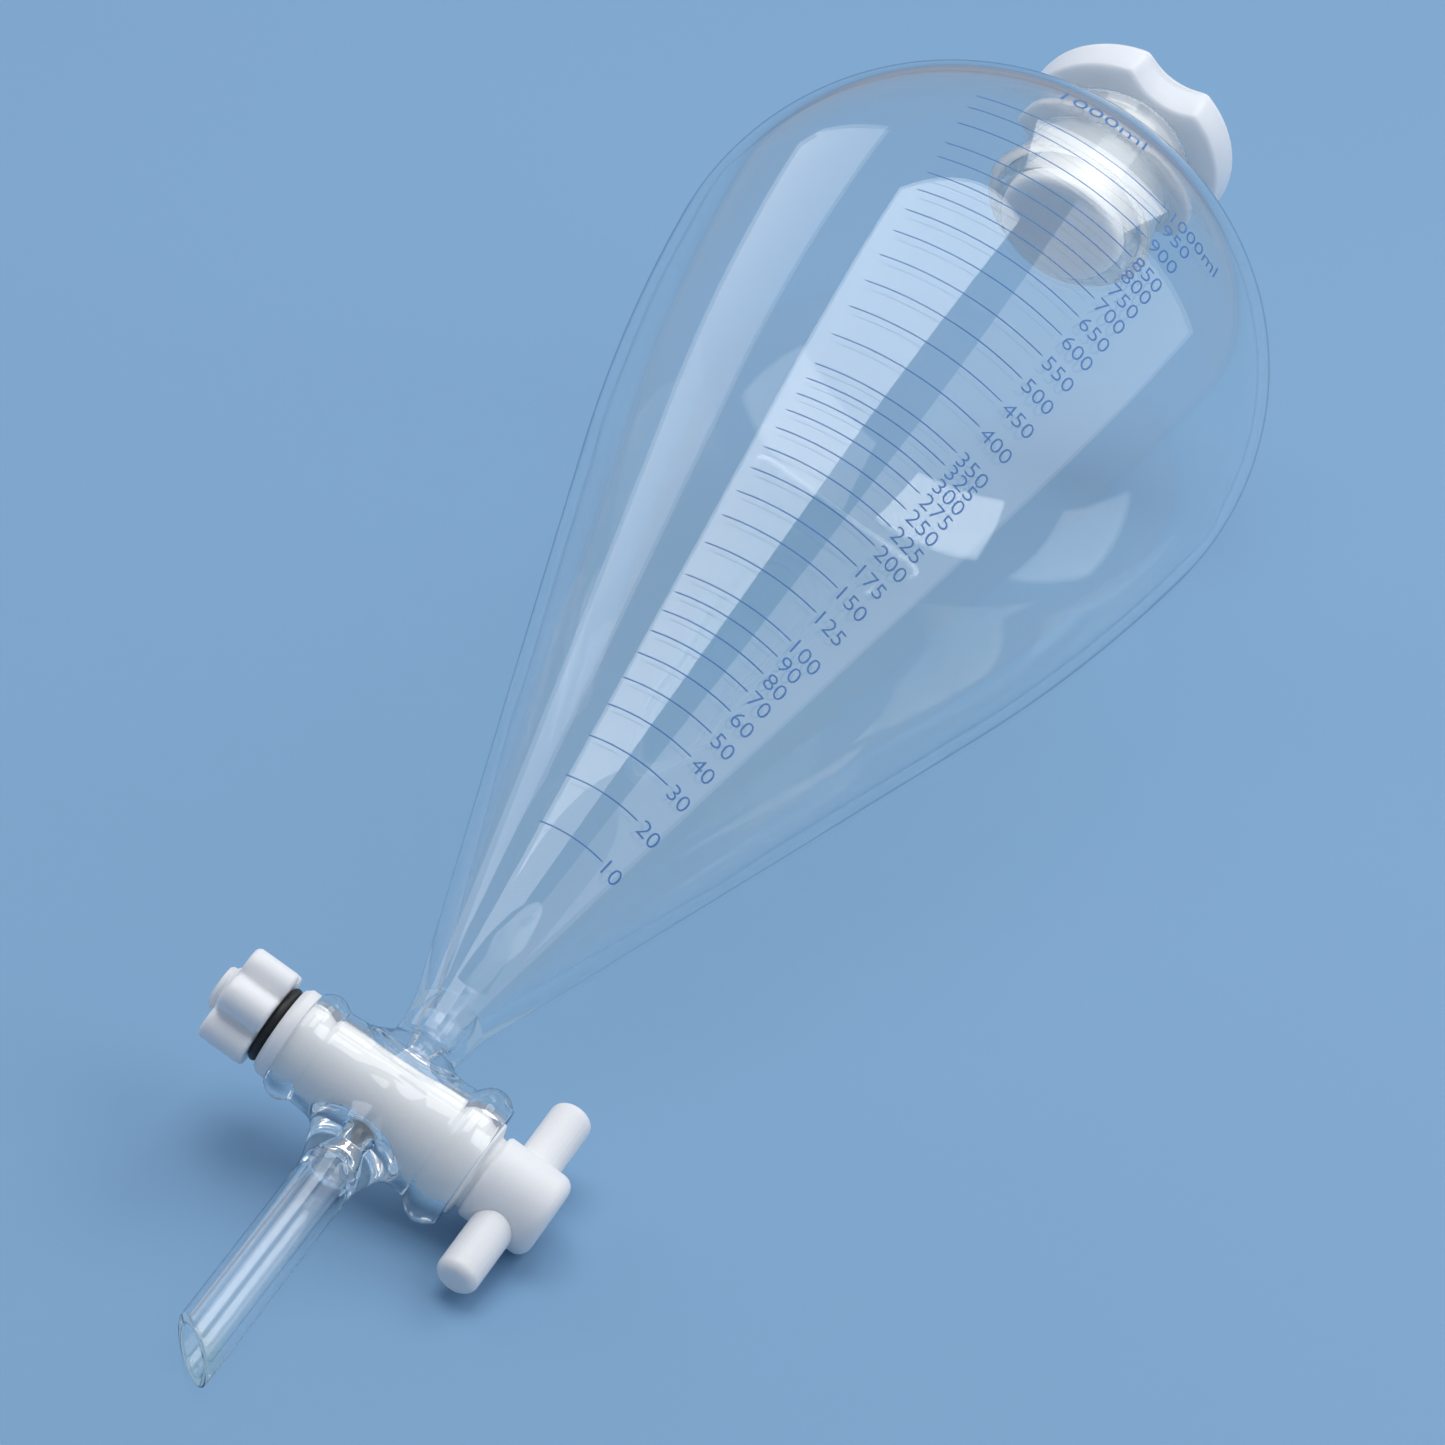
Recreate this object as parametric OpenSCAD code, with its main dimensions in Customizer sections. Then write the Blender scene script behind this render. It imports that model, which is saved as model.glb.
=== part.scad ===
// Pear-shaped separatory funnel, 1000 ml, with a plastic taper-plug stopcock.
// Frame: origin where the stopcock axis crosses the funnel axis, +Z up the
// funnel towards the stopper, +X along the stopcock from the nut to the handle.
// The graduated side faces -Y. Millimetres.

/* [Bulb] */
// Largest outside radius of the bulb
bulb_r = 61.6; // [58:0.1:65]
// Height of the largest radius above the stopcock axis
belly_z = 221; // [210:0.5:230]
// Radius of curvature of the shoulder
shoulder_r = 55; // [50:0.5:57]
// Radius of the gentle curve between cone and belly
side_r = 376; // [300:1:420]
// Half angle of the long cone
cone_half = 17.2; // [16.6:0.1:17.6]
// Half angle at which the gentle curve meets the shoulder curve
switch_half = 8; // [6:0.5:9]
// Glass wall thickness
wall = 2.1; // [1.6:0.1:2.6]
// Extra wall at the foot of the cone, where the glass is drawn in thick
wall_foot = 1.2; // [0:0.1:1.6]
// Height where that extra wall has faded out
wall_fade_z = 84; // [60:1:120]
// Outside radius of the waist above the stopcock
waist_r = 6.2; // [6:0.1:7]
// Height of that waist
waist_z = 14; // [13.6:0.1:15]

/* [Neck and stopper] */
// Height of the socket rim
rim_z = 297.5; // [295:0.5:303]
// Radius of the conical socket at its rim, taper 1:10 on diameter
socket_r = 14.6; // [14.6:0.1:14.6]
// Outside radius of the socket tube
neck_r = 16.7; // [16.6:0.1:17.5]
// Radius of the fillet between shoulder and socket tube
neck_fillet = 5; // [4:0.5:6]
// Radius of the stopper head over its lobes
head_r = 22.8; // [21:0.1:25]
// Radius of the stopper head in its three notches
notch_r = 18.9; // [17.5:0.1:20]
// Thickness of the stopper head
head_h = 8; // [6:0.5:11]
// Depth the plug reaches below the socket rim
plug_depth = 27.5; // [22:0.5:30]
// Wall of the hollow plug
plug_wall = 2.2; // [1.5:0.1:3]
// Radial gap between plug and socket
joint_gap = 0.05; // [0.02:0.01:0.1]

/* [Stopcock barrel] */
// Bore radius at mid length, taper 1:10 on diameter
bore_r = 8.25; // [8:0.05:8.4]
// Outside radius at mid length
barrel_r = 10.25; // [10:0.05:10.6]
// Distance from the middle to each rim
barrel_half = 19; // [18:0.5:20]
// Radius of the liquid bore through barrel and plug
flow_r = 2; // [1:0.1:2.4]

/* [Stopcock key] */
// Radius of the key head
key_head_r = 8; // [7.4:0.1:8.6]
// Outer end of the key head
key_end = 34.6; // [32:0.1:38]
// Radius of the handle rod
bar_r = 3.9; // [3:0.1:4.4]
// Half length of the handle rod
bar_half = 21; // [16:0.5:24]
// Distance of the rod axis from the funnel axis
bar_x = 27.4; // [26:0.1:29]
// Major radius of the thread on the key
thread_r = 4.6; // [4:0.1:5]

/* [Nut, ring and washer] */
// Radius of the nut over its lobes
nut_r = 10.2; // [9.6:0.1:10.5]
// Number of lobes on the nut
nut_lobes = 6; // [5:1:8]
// Length of the nut
nut_l = 8.9; // [8:0.1:10]
// Outside radius of the thrust washer
washer_r = 8.7; // [8:0.1:9.2]
// Thickness of the thrust washer
washer_t = 2.9; // [1.5:0.1:3.2]
// Section radius of the rubber ring
ring_sec = 0.93; // [0.7:0.01:1.2]
// Centreline radius of the rubber ring
ring_r = 6.5; // [6.2:0.1:7]

/* [Outlet stem] */
// Outside radius of the outlet stem
stem_r = 5.15; // [4.5:0.05:5.5]
// Wall of the outlet stem
stem_wall = 1.5; // [1.2:0.1:1.9]
// Distance of the middle of the slanted tip below the stopcock axis
tip_z = 61.5; // [45:0.5:90]
// Slope of the tip cut
tip_slope = 0.768; // [0:0.01:1]

/* [Scale] */
// First angle of the graduation lines about the funnel axis
scale_from = -111.5; // [-125:0.5:-105]
// Last angle of the graduation lines
scale_to = -73.7; // [-85:0.1:-60]
// Width of a line
line_w = 0.4; // [0.2:0.05:0.6]
// Thickness of the enamel
line_t = 0.06; // [0.03:0.01:0.2]

/* [Hidden] */
$fn = 64;

stopcock_glass = [0.82, 0.90, 0.94, 0.4];
white_plastic = [0.95, 0.95, 0.95];

// ---- shared helpers; profiles are [radius, place along the axis] ----
function polar(r, angle) = r * [cos(angle), sin(angle)];
// points from step `first` to the last step of an arc
function arc(centre, r, from, to, steps, first = 0) =
    [for (i = [first:steps]) centre + polar(r, from + (to - from) * i / steps)];
// third side of a right-angled triangle
function leg(long, short) = sqrt(max(0, long * long - short * short));
function reversed(list) = [for (i = [len(list) - 1:-1:0]) list[i]];
// radius change per mm of a taper of 1:10 on diameter
taper = 1 / 20;
function socket_at(z) = socket_r - (rim_z - z) * taper;
function bore_at(x) = bore_r + x * taper;

module along_x() rotate([0, 90, 0]) children();
module flow_bore() cylinder(r = flow_r, h = 40, center = true);

// ---- bulb outline: cone, gentle curve, shoulder, fillet ----
shoulder_centre = [bulb_r - shoulder_r, belly_z];
// where the gentle curve meets the shoulder
side_top = shoulder_centre + polar(shoulder_r, -switch_half);
side_centre = side_top - polar(side_r, -switch_half);
// where the cone meets the gentle curve
cone_top = side_centre + polar(side_r, -cone_half);

// radius of the straight cone at height z, moved inwards by inset
function cone_at(z, inset = 0) =
    cone_top[0] - inset / cos(cone_half) + (z - cone_top[1]) * tan(cone_half);
// radius of the bulb on cone, gentle curve or shoulder, moved inwards by inset
function bulb_at(z, inset = 0) =
    z > side_top[1] ? shoulder_centre[0] + leg(shoulder_r - inset, z - belly_z)
    : z > cone_top[1] ? side_centre[0] + leg(side_r - inset, z - side_centre[1])
    : cone_at(z, inset);

// the waist curve is tangent to the vertical at the waist and to the cone
waist_curve_r = (cone_at(waist_z) - waist_r)
    / (1 - cos(cone_half) - sin(cone_half) * tan(cone_half));
fillet_r = neck_r + neck_fillet;
// bulb and neck meet in a level cut through the centre of the fillet
seam_z = belly_z + leg(shoulder_r + neck_fillet, fillet_r - shoulder_centre[0]);
fillet_angle = atan2(seam_z - belly_z, fillet_r - shoulder_centre[0]);

// ends of bulb and stem at the barrel, equally far above and below its axis
seal_r = 9;
seal_z = 4.6;
outer_outline = concat(
    [[seal_r, seal_z], [8.55, 9.2], [7.35, 10.9], [6.55, 12.2]],
    arc([waist_r + waist_curve_r, waist_z], waist_curve_r, 180, 180 - cone_half, 6),
    arc(side_centre, side_r, -cone_half, -switch_half, 10),
    arc(shoulder_centre, shoulder_r, -switch_half, fillet_angle, 26, first = 1),
    arc([fillet_r, seam_z], neck_fillet, 180 + fillet_angle, 180, 8, first = 1));

// height where the inside of the long cone starts
cone_foot_z = 24;
function wall_at(z) = wall
    + wall_foot * max(0, min(1, (wall_fade_z - z) / (wall_fade_z - cone_foot_z)));
// inside of the glass from the flow bore up to the cone
throat = [
    [flow_r, 12.6], [2.4, 13.2], [2.95, 14.4], [3.4, 16.4],
    [cone_at(cone_foot_z, wall_at(cone_foot_z)), cone_foot_z]];
// nominal height where the socket opens into the shoulder
socket_foot_z = 273;
shoulder_in_r = shoulder_r - wall;
shoulder_in_angle =
    asin(leg(shoulder_in_r, socket_at(socket_foot_z) - shoulder_centre[0]) / shoulder_in_r);
inner_outline = concat(
    [[flow_r, seal_z]],
    throat,
    [[cone_at(wall_fade_z, wall), wall_fade_z]],
    arc(side_centre, side_r - wall, -cone_half, -switch_half, 10),
    arc(shoulder_centre, shoulder_in_r, -switch_half, shoulder_in_angle, 26, first = 1),
    [[socket_at(seam_z), seam_z]]);

module bulb() color([0.80, 0.88, 0.92, 0.35]) difference() {
    rotate_extrude($fn = 96) polygon(concat(outer_outline, reversed(inner_outline)));
    barrel_cone();
}

// ground conical socket with a rolled rim
rim_bead_r = 1.3;
module neck_socket() color([0.86, 0.90, 0.92, 0.45]) rotate_extrude($fn = 96) difference() {
    union() {
        polygon([
            [socket_at(seam_z), seam_z], [neck_r, seam_z],
            [neck_r, rim_z - 0.6], [neck_r - 0.6, rim_z], [socket_r, rim_z]]);
        translate([neck_r - 0.45, rim_z - rim_bead_r]) circle(r = rim_bead_r, $fn = 32);
    }
    polygon([
        [0, seam_z - 1], [socket_at(seam_z - 1), seam_z - 1],
        [socket_at(rim_z + 1), rim_z + 1], [0, rim_z + 1]]);
}

// ---- stopcock barrel ----
// ends of the barrel's outside cone, and its radius change per mm
barrel_from = -16;
barrel_to = 15;
barrel_slope = 0.074;
function barrel_outline(inner_r) = [
    [inner_r, barrel_from], [barrel_r + barrel_from * barrel_slope, barrel_from],
    [barrel_r + barrel_to * barrel_slope, barrel_to], [inner_r, barrel_to]];
// collars: centre radius, x, section radius
collars = [[7.7, -16.3, 2.8], [9.9, 15.5, 3.6]];
// reach of the bore cutter to each side
bore_cut = 30;

// solid outside cone of the barrel, without collars
module barrel_cone() along_x() rotate_extrude() polygon(barrel_outline(0));

// horizontal taper-bored barrel with a collar at each end
module stopcock_barrel() color(stopcock_glass) difference() {
    along_x() rotate_extrude($fn = 96) difference() {
        union() {
            polygon(barrel_outline(4));
            for (collar = collars)
                translate([collar[0], collar[1]]) circle(r = collar[2], $fn = 48);
        }
        polygon([
            [0, -bore_cut], [bore_at(-bore_cut), -bore_cut],
            [bore_at(bore_cut), bore_cut], [0, bore_cut]]);
        // trim the collars flat at the rims
        translate([0, -bore_cut]) square([20, bore_cut - barrel_half]);
        translate([0, barrel_half]) square([20, bore_cut]);
    }
    flow_bore();
}

// ---- outlet stem, flared at the barrel; its slanted tip is longest on the +X side ----
// lower end before the tip is cut
stem_blank_z = -80;
stem_outer = [
    [stem_r, stem_blank_z], [stem_r, -23], [5.3, -20.5], [5.75, -18], [6.4, -15.8],
    [7.2, -13.8], [8.0, -12], [8.6, -9.6], [seal_r, -seal_z]];
stem_in_r = stem_r - stem_wall;
stem_inner = [
    [flow_r, -seal_z], [flow_r, -12.4], [2.5, -13.6], [3.1, -15.4],
    [stem_in_r, -18.5], [stem_in_r, stem_blank_z]];
module drip_stem() color(stopcock_glass) difference() {
    rotate_extrude() polygon(concat(stem_outer, stem_inner));
    barrel_cone();
    translate([0, 0, -tip_z]) rotate([0, atan(tip_slope), 0])
        translate([-40, -40, -60]) cube([80, 80, 60]);
}

// ---- graduation: fired enamel lines on the -Y side ----
// inside radius of the glass at height z
function inner_at(z) =
    z < cone_foot_z ? lookup(z, [for (p = throat) [p[1], p[0]]])
    : z < wall_fade_z ? cone_at(z, wall_at(z))
    : bulb_at(z, wall);
// contents in ml up to each level, summed in thin slices
level_from = 13;
level_step = 0.5;
level_count = 440;
// ml held below the first level
start_ml = 0.2;
function slice_ml(i) =
    PI * pow(inner_at(level_from + (i + 0.5) * level_step), 2) * level_step / 1000;
contents = [for (i = 0, ml = start_ml; i <= level_count; ml = ml + slice_ml(i), i = i + 1) ml];
// height at which the bulb holds the given millilitres
function height_of(ml) =
    let (above = len([for (c = contents) if (c < ml) 1]), below = above - 1)
    level_from + level_step
        * (below + (ml - contents[below]) / (contents[above] - contents[below]));
// marked volumes in ml
marks = [each [10:10:100], each [125:25:350], each [400:50:1000]];
// gap between glass and enamel
enamel_gap = 0.012;

// one band lying along the slope of the glass
module graduation_line(z) {
    slope = bulb_at(z + 0.5) - bulb_at(z - 0.5);
    slope_cos = 1 / sqrt(1 + slope * slope);
    half_h = line_w * slope_cos / 2;
    near = enamel_gap;
    far = enamel_gap + line_t;
    // corners: distance off the glass, lower (-1) or upper (1) edge
    corners = [[near, -1], [far, -1], [far, 1], [near, 1]];
    rotate([0, 0, scale_from])
        rotate_extrude(angle = scale_to - scale_from, $fn = 128)
            polygon([for (p = corners)
                [bulb_at(z) + p[1] * half_h * slope + p[0] / slope_cos, z + p[1] * half_h]]);
}

module graduation_scale() color([0.16, 0.29, 0.66])
    for (ml = marks) graduation_line(height_of(ml));

// ---- stopper: hollow, open at the top, with a three-lobed head ----
head_z = rim_z + 0.6;
head_top = head_z + head_h;
plug_z = rim_z - plug_depth;
notch_cut_r = 14;
notch_angle = 274;
function plug_at(z) = socket_at(z) - joint_gap;
function hollow_at(z) = socket_at(z) - plug_wall;

module stopper_plug() rotate_extrude($fn = 96) polygon([
    [0, plug_z], [plug_at(plug_z) - 1.1, plug_z], [plug_at(plug_z + 1.2), plug_z + 1.2],
    [plug_at(head_z), head_z], [plug_at(head_z), head_z + 1], [0, head_z + 1]]);

module stopper_head() intersection() {
    translate([0, 0, head_z - 1]) linear_extrude(height = head_h + 2) difference() {
        circle(r = head_r + 0.2, $fn = 96);
        for (k = [0:2])
            rotate([0, 0, notch_angle + 120 * k])
                translate([notch_r + notch_cut_r, 0]) circle(r = notch_cut_r, $fn = 64);
    }
    rotate_extrude($fn = 96) polygon([
        [0, head_z], [head_r - 1.2, head_z], [head_r - 0.4, head_z + 0.8],
        [head_r, head_top - 1.2], [head_r - 1.2, head_top], [0, head_top]]);
}

module stopper_hollow() {
    floor_z = plug_z + plug_wall;
    mouth_r = hollow_at(head_z);
    rotate_extrude($fn = 96) polygon([
        [0, floor_z], [hollow_at(plug_z) - 1.2, floor_z], [hollow_at(plug_z), floor_z + 1.2],
        [mouth_r, head_top - 1], [mouth_r + 1, head_top],
        [mouth_r + 1, head_top + 1], [0, head_top + 1]]);
}

module stopper() color([0.93, 0.94, 0.96]) difference() {
    union() {
        stopper_plug();
        stopper_head();
    }
    stopper_hollow();
}

// ---- key: taper plug, threaded tail and cross-drilled head in one piece ----
key_gap = 0.05;
tail_x = -34.8;
plug_from = -18.4;
plug_to = 19.4;
key_outline = [
    // threaded tail
    [0, tail_x], [thread_r - 0.6, tail_x], [thread_r, tail_x + 0.6], [thread_r, -22.4],
    [5, -22.2], [5, plug_from],
    // taper plug and the neck beyond it
    [bore_at(plug_from) - key_gap, plug_from], [bore_at(plug_to) - key_gap, plug_to],
    [7.0, 19.7], [7.0, 21],
    // head
    [key_head_r - 0.7, 21.1], [key_head_r, 22], [key_head_r, key_end - 2.4],
    [key_head_r - 0.35, key_end - 1.3], [key_head_r - 1.1, key_end - 0.45],
    [key_head_r - 2.4, key_end], [0, key_end]];
module stopcock_key() color(white_plastic) difference() {
    along_x() rotate_extrude($fn = 96) polygon(key_outline);
    flow_bore();
    translate([bar_x, 0, 0]) cylinder(r = bar_r + 0.02, h = 40, center = true);
}

// round rod through the key head
// rounding of each end: inset from the radius, distance from the end
bar_rounding = [[1.6, 0], [0.6, 0.4], [0.12, 1.1], [0, 2]];
module handle_bar() color(white_plastic) translate([bar_x, 0, 0]) rotate_extrude()
    polygon(concat(
        [[0, -bar_half]],
        [for (p = bar_rounding) [bar_r - p[0], -bar_half + p[1]]],
        [for (p = reversed(bar_rounding)) [bar_r - p[0], bar_half - p[1]]],
        [[0, bar_half]]));

// ---- washer, ring and nut, stacked outwards (-X) from the barrel's small end ----
ring_gap = 0.04;
washer_in = -barrel_half - 0.05;
washer_out = washer_in - washer_t;
ring_x = washer_out - ring_gap - ring_sec;
nut_in = washer_out - 2 * (ring_gap + ring_sec);
nut_out = nut_in - nut_l;

// thrust washer, chamfered towards the nut
washer_hole_r = 5.05;
module washer() color([0.94, 0.94, 0.94]) along_x() rotate_extrude() polygon([
    [washer_hole_r, washer_out], [washer_r - 0.9, washer_out], [washer_r, washer_out + 1.1],
    [washer_r, washer_in - 0.3], [washer_r - 0.3, washer_in], [washer_hole_r, washer_in]]);

// black rubber ring
module o_ring() color([0.08, 0.08, 0.08]) along_x() rotate_extrude($fn = 96)
    translate([ring_r, ring_x]) circle(r = ring_sec, $fn = 32);

// lobed nut; the key's tail stands out of its outer end
lobe_r = 3.4;
lobe_angle = 33.2;
module tension_nut() color(white_plastic) difference() {
    intersection() {
        translate([nut_out, 0, 0]) along_x() linear_extrude(height = nut_l) union() {
            circle(r = nut_r - 2.8, $fn = 64);
            for (k = [0:nut_lobes - 1])
                rotate([0, 0, lobe_angle + 360 / nut_lobes * k])
                    translate([nut_r - lobe_r, 0]) circle(r = lobe_r, $fn = 48);
        }
        along_x() rotate_extrude($fn = 96) polygon([
            [0, nut_out], [nut_r - 1.6, nut_out], [nut_r - 0.5, nut_out + 0.6],
            [nut_r, nut_out + 1.6], [nut_r, nut_in - 0.9], [nut_r - 0.9, nut_in], [0, nut_in]]);
    }
    along_x() translate([0, 0, nut_out - 1])
        cylinder(r = thread_r + 0.05, h = nut_l + 2, $fn = 64);
}

bulb();
neck_socket();
stopcock_barrel();
drip_stem();
graduation_scale();
stopper();
stopcock_key();
handle_bar();
washer();
o_ring();
tension_nut();
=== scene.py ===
import math

import bmesh
import bpy
import numpy as np
from mathutils import Matrix, Vector


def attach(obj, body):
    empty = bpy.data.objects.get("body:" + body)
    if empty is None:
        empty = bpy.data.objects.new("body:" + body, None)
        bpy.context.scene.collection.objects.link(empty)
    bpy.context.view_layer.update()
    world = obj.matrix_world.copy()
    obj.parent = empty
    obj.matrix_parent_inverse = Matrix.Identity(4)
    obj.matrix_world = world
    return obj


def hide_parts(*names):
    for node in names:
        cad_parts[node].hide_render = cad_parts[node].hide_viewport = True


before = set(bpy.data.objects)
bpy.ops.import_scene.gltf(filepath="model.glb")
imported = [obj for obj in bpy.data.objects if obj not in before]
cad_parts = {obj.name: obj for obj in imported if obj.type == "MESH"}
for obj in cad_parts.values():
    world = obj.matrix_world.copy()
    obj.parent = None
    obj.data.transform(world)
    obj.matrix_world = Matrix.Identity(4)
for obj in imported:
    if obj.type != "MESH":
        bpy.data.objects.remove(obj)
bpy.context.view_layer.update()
MM = 0.001
rng = np.random.default_rng(7)
sc = bpy.context.scene

# ---------------------------------------------------------------- outline, mm (as in the CAD source)
D2R = math.pi / 180
WALL, FOOT, FADE_Z = 2.1, 1.2, 84.0
C2 = np.array([6.6, 221.0])
SW = C2 + 55 * np.array([math.cos(8 * D2R), -math.sin(8 * D2R)])
C1 = SW - 376 * np.array([math.cos(8 * D2R), -math.sin(8 * D2R)])
CN = C1 + 376 * np.array([math.cos(17.2 * D2R), -math.sin(17.2 * D2R)])
TAN, COS = math.tan(17.2 * D2R), math.cos(17.2 * D2R)
WAIST_R, WAIST_Z = 6.2, 14.0
RIM_Z, SOCK_R, NECK_R, FIL = 297.5, 14.6, 16.7, 5.0
FIL_R = NECK_R + FIL
FIL_Z = 221 + math.sqrt(60.0**2 - (FIL_R - 6.6) ** 2)


def cone_at(z, w=0.0):
    return CN[0] - w / COS + (z - CN[1]) * TAN


def wall_at(z):
    return WALL + FOOT * min(1.0, max(0.0, (FADE_Z - z) / (FADE_Z - 24)))


RHO = (cone_at(WAIST_Z) - WAIST_R) / ((1 - COS) - math.sin(17.2 * D2R) * TAN)
WAIST_TOP = WAIST_Z + RHO * math.sin(17.2 * D2R)


def sock(z):
    return SOCK_R - (RIM_Z - z) / 20


def bulb_at(z, w=0.0):
    z = np.asarray(z, float)
    with np.errstate(invalid="ignore"):
        return np.where(
            z > SW[1],
            C2[0] + np.sqrt(np.maximum(0, (55 - w) ** 2 - (z - 221) ** 2)),
            np.where(
                z > CN[1],
                C1[0] + np.sqrt(np.maximum(0, (376 - w) ** 2 - (z - C1[1]) ** 2)),
                np.where(
                    (z > WAIST_TOP) | (w > 0),
                    CN[0] - w / COS + (z - CN[1]) * TAN,
                    WAIST_R + RHO - np.sqrt(np.maximum(0, RHO**2 - (z - WAIST_Z) ** 2)),
                ),
            ),
        )


def arc(c, r, a0, a1, n, first=True):
    return [
        (c[0] + r * math.cos((a0 + (a1 - a0) * i / n) * D2R), c[1] + r * math.sin((a0 + (a1 - a0) * i / n) * D2R))
        for i in range(0 if first else 1, n + 1)
    ]


# ---------------------------------------------------------------- mesh helpers
def new_mesh(name, verts, faces, mats=(), fmat=None, scale=MM, smooth=True):
    me = bpy.data.meshes.new(name)
    me.from_pydata([tuple(np.asarray(v, float) * scale) for v in verts], [], [tuple(int(i) for i in f) for f in faces])
    for m in mats:
        me.materials.append(m)
    if fmat is not None:
        me.polygons.foreach_set("material_index", np.asarray(fmat, np.int32))
    if smooth:
        me.polygons.foreach_set("use_smooth", np.ones(len(me.polygons), bool))
    me.validate()
    me.update()
    ob = bpy.data.objects.new(name, me)
    sc.collection.objects.link(ob)
    return ob


def revolve_x(prof, n=96, phase=0.0):
    """Closed revolve about X of (x, r) points; points with r 0 become poles."""
    V, F = [], []
    rings = []
    for x, r in prof:
        if r < 1e-6:
            rings.append([len(V)])
            V.append((x, 0, 0))
        else:
            rings.append(list(range(len(V), len(V) + n)))
            for i in range(n):
                a = phase + 2 * math.pi * i / n
                V.append((x, r * math.cos(a), r * math.sin(a)))
    for a, b in zip(rings[:-1], rings[1:]):
        for i in range(n):
            j = (i + 1) % n
            if len(a) == 1 and len(b) > 1:
                F.append((a[0], b[i], b[j]))
            elif len(b) == 1 and len(a) > 1:
                F.append((a[i], b[0], a[j]))
            elif len(a) > 1:
                F.append((a[i], b[i], b[j], a[j]))
    return V, F


def outward(ob):
    bm = bmesh.new()
    bm.from_mesh(ob.data)
    bmesh.ops.recalc_face_normals(bm, faces=bm.faces)
    bm.to_mesh(ob.data)
    bm.free()
    ob.data.update()


def sharp_by_angle(ob, deg):
    ob.data.set_sharp_from_angle(angle=deg * D2R)


def round_poly(pts, rad, n=4):
    """Rounds the corners of an open (x, r) polyline; rad is one radius per corner."""
    out = [pts[0]]
    for i in range(1, len(pts) - 1):
        p0, p1, p2 = (np.array(pts[k], float) for k in (i - 1, i, i + 1))
        r = rad[i] if isinstance(rad, (list, tuple)) else rad
        if r <= 0:
            out.append(tuple(p1))
            continue
        d0, d1 = p0 - p1, p2 - p1
        l0, l1 = np.linalg.norm(d0), np.linalg.norm(d1)
        d0, d1 = d0 / l0, d1 / l1
        ang = math.acos(max(-1, min(1, float(d0 @ d1))))
        t = min(r / math.tan(ang / 2), l0 * 0.49, l1 * 0.49)
        rr = t * math.tan(ang / 2)
        c = p1 + (d0 + d1) / np.linalg.norm(d0 + d1) * (rr / math.sin(ang / 2))
        a, b = p1 + d0 * t, p1 + d1 * t
        a0, a1 = math.atan2(*(a - c)[::-1]), math.atan2(*(b - c)[::-1])
        da = (a1 - a0 + math.pi) % (2 * math.pi) - math.pi
        for k in range(n + 1):
            th = a0 + da * k / n
            out.append((c[0] + rr * math.cos(th), c[1] + rr * math.sin(th)))
    out.append(pts[-1])
    return out


# ---------------------------------------------------------------- the glass body
# signed distances, mm; the seals between bulb, barrel and stem are one blended surface
def poly_sdf(px, py, pts):
    """Signed distance to a closed polygon, negative inside."""
    pts = np.asarray(pts, float)
    d = np.full(px.shape, 1e9)
    s = np.ones(px.shape)
    for i in range(len(pts)):
        a, b = pts[i], pts[i - 1]
        ex, ey = b[0] - a[0], b[1] - a[1]
        wx, wy = px - a[0], py - a[1]
        t = np.clip((wx * ex + wy * ey) / (ex * ex + ey * ey), 0, 1)
        d = np.minimum(d, (wx - ex * t) ** 2 + (wy - ey * t) ** 2)
        c1, c2, c3 = py >= a[1], py < b[1], ex * wy > ey * wx
        flip = (c1 & c2 & c3) | (~c1 & ~c2 & ~c3)
        s = np.where(flip, -s, s)
    return s * np.sqrt(d)


def smin(a, b, k):
    h = np.maximum(k - np.abs(a - b), 0) / k
    return np.minimum(a, b) - h * h * k * 0.25


KB = math.atan(0.074)


# radius of the flared seals against distance from the stopcock axis
FLARE_UP = [(0, 9.1), (4.6, 9.0), (7.4, 8.9), (9.2, 8.45), (10.9, 7.3), (12.2, 6.55), (14.0, 6.2)]
FLARE_DN = [(0, 8.8), (4.6, 8.75), (7.2, 8.6), (9.6, 8.35), (12.0, 7.75), (13.8, 7.05), (15.8, 6.3), (18.0, 5.62), (20.5, 5.24), (23.0, 5.15)]


def curve(t, pts):
    """Smooth curve through (t, r) points, by cubic pieces."""
    a = np.array(pts, float)
    m = np.gradient(a[:, 1], a[:, 0])
    m[-1] = 0.0
    t = np.clip(t, a[0, 0], a[-1, 0])
    i = np.clip(np.searchsorted(a[:, 0], t, side="right") - 1, 0, len(a) - 2)
    h = a[i + 1, 0] - a[i, 0]
    u = (t - a[i, 0]) / h
    return (2 * u**3 - 3 * u**2 + 1) * a[i, 1] + (u**3 - 2 * u**2 + u) * h * m[i] + (3 * u**2 - 2 * u**3) * a[i + 1, 1] + (u**3 - u**2) * h * m[i + 1]


def F_out(P):
    x, y, z = P[..., 0], P[..., 1], P[..., 2]
    rx, rz = np.hypot(y, z), np.hypot(x, y)
    barrel = (rx - (10.25 + 0.074 * x)) * math.cos(KB)
    r_up = np.where(z > WAIST_Z, bulb_at(np.maximum(z, WAIST_Z)), curve(z, FLARE_UP))
    up = np.maximum((rz - r_up) * 0.93, -z)
    dn = np.maximum((rz - curve(-z, FLARE_DN)) * 0.93, z)
    return smin(smin(barrel, up, 3.0), dn, 2.6)


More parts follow.
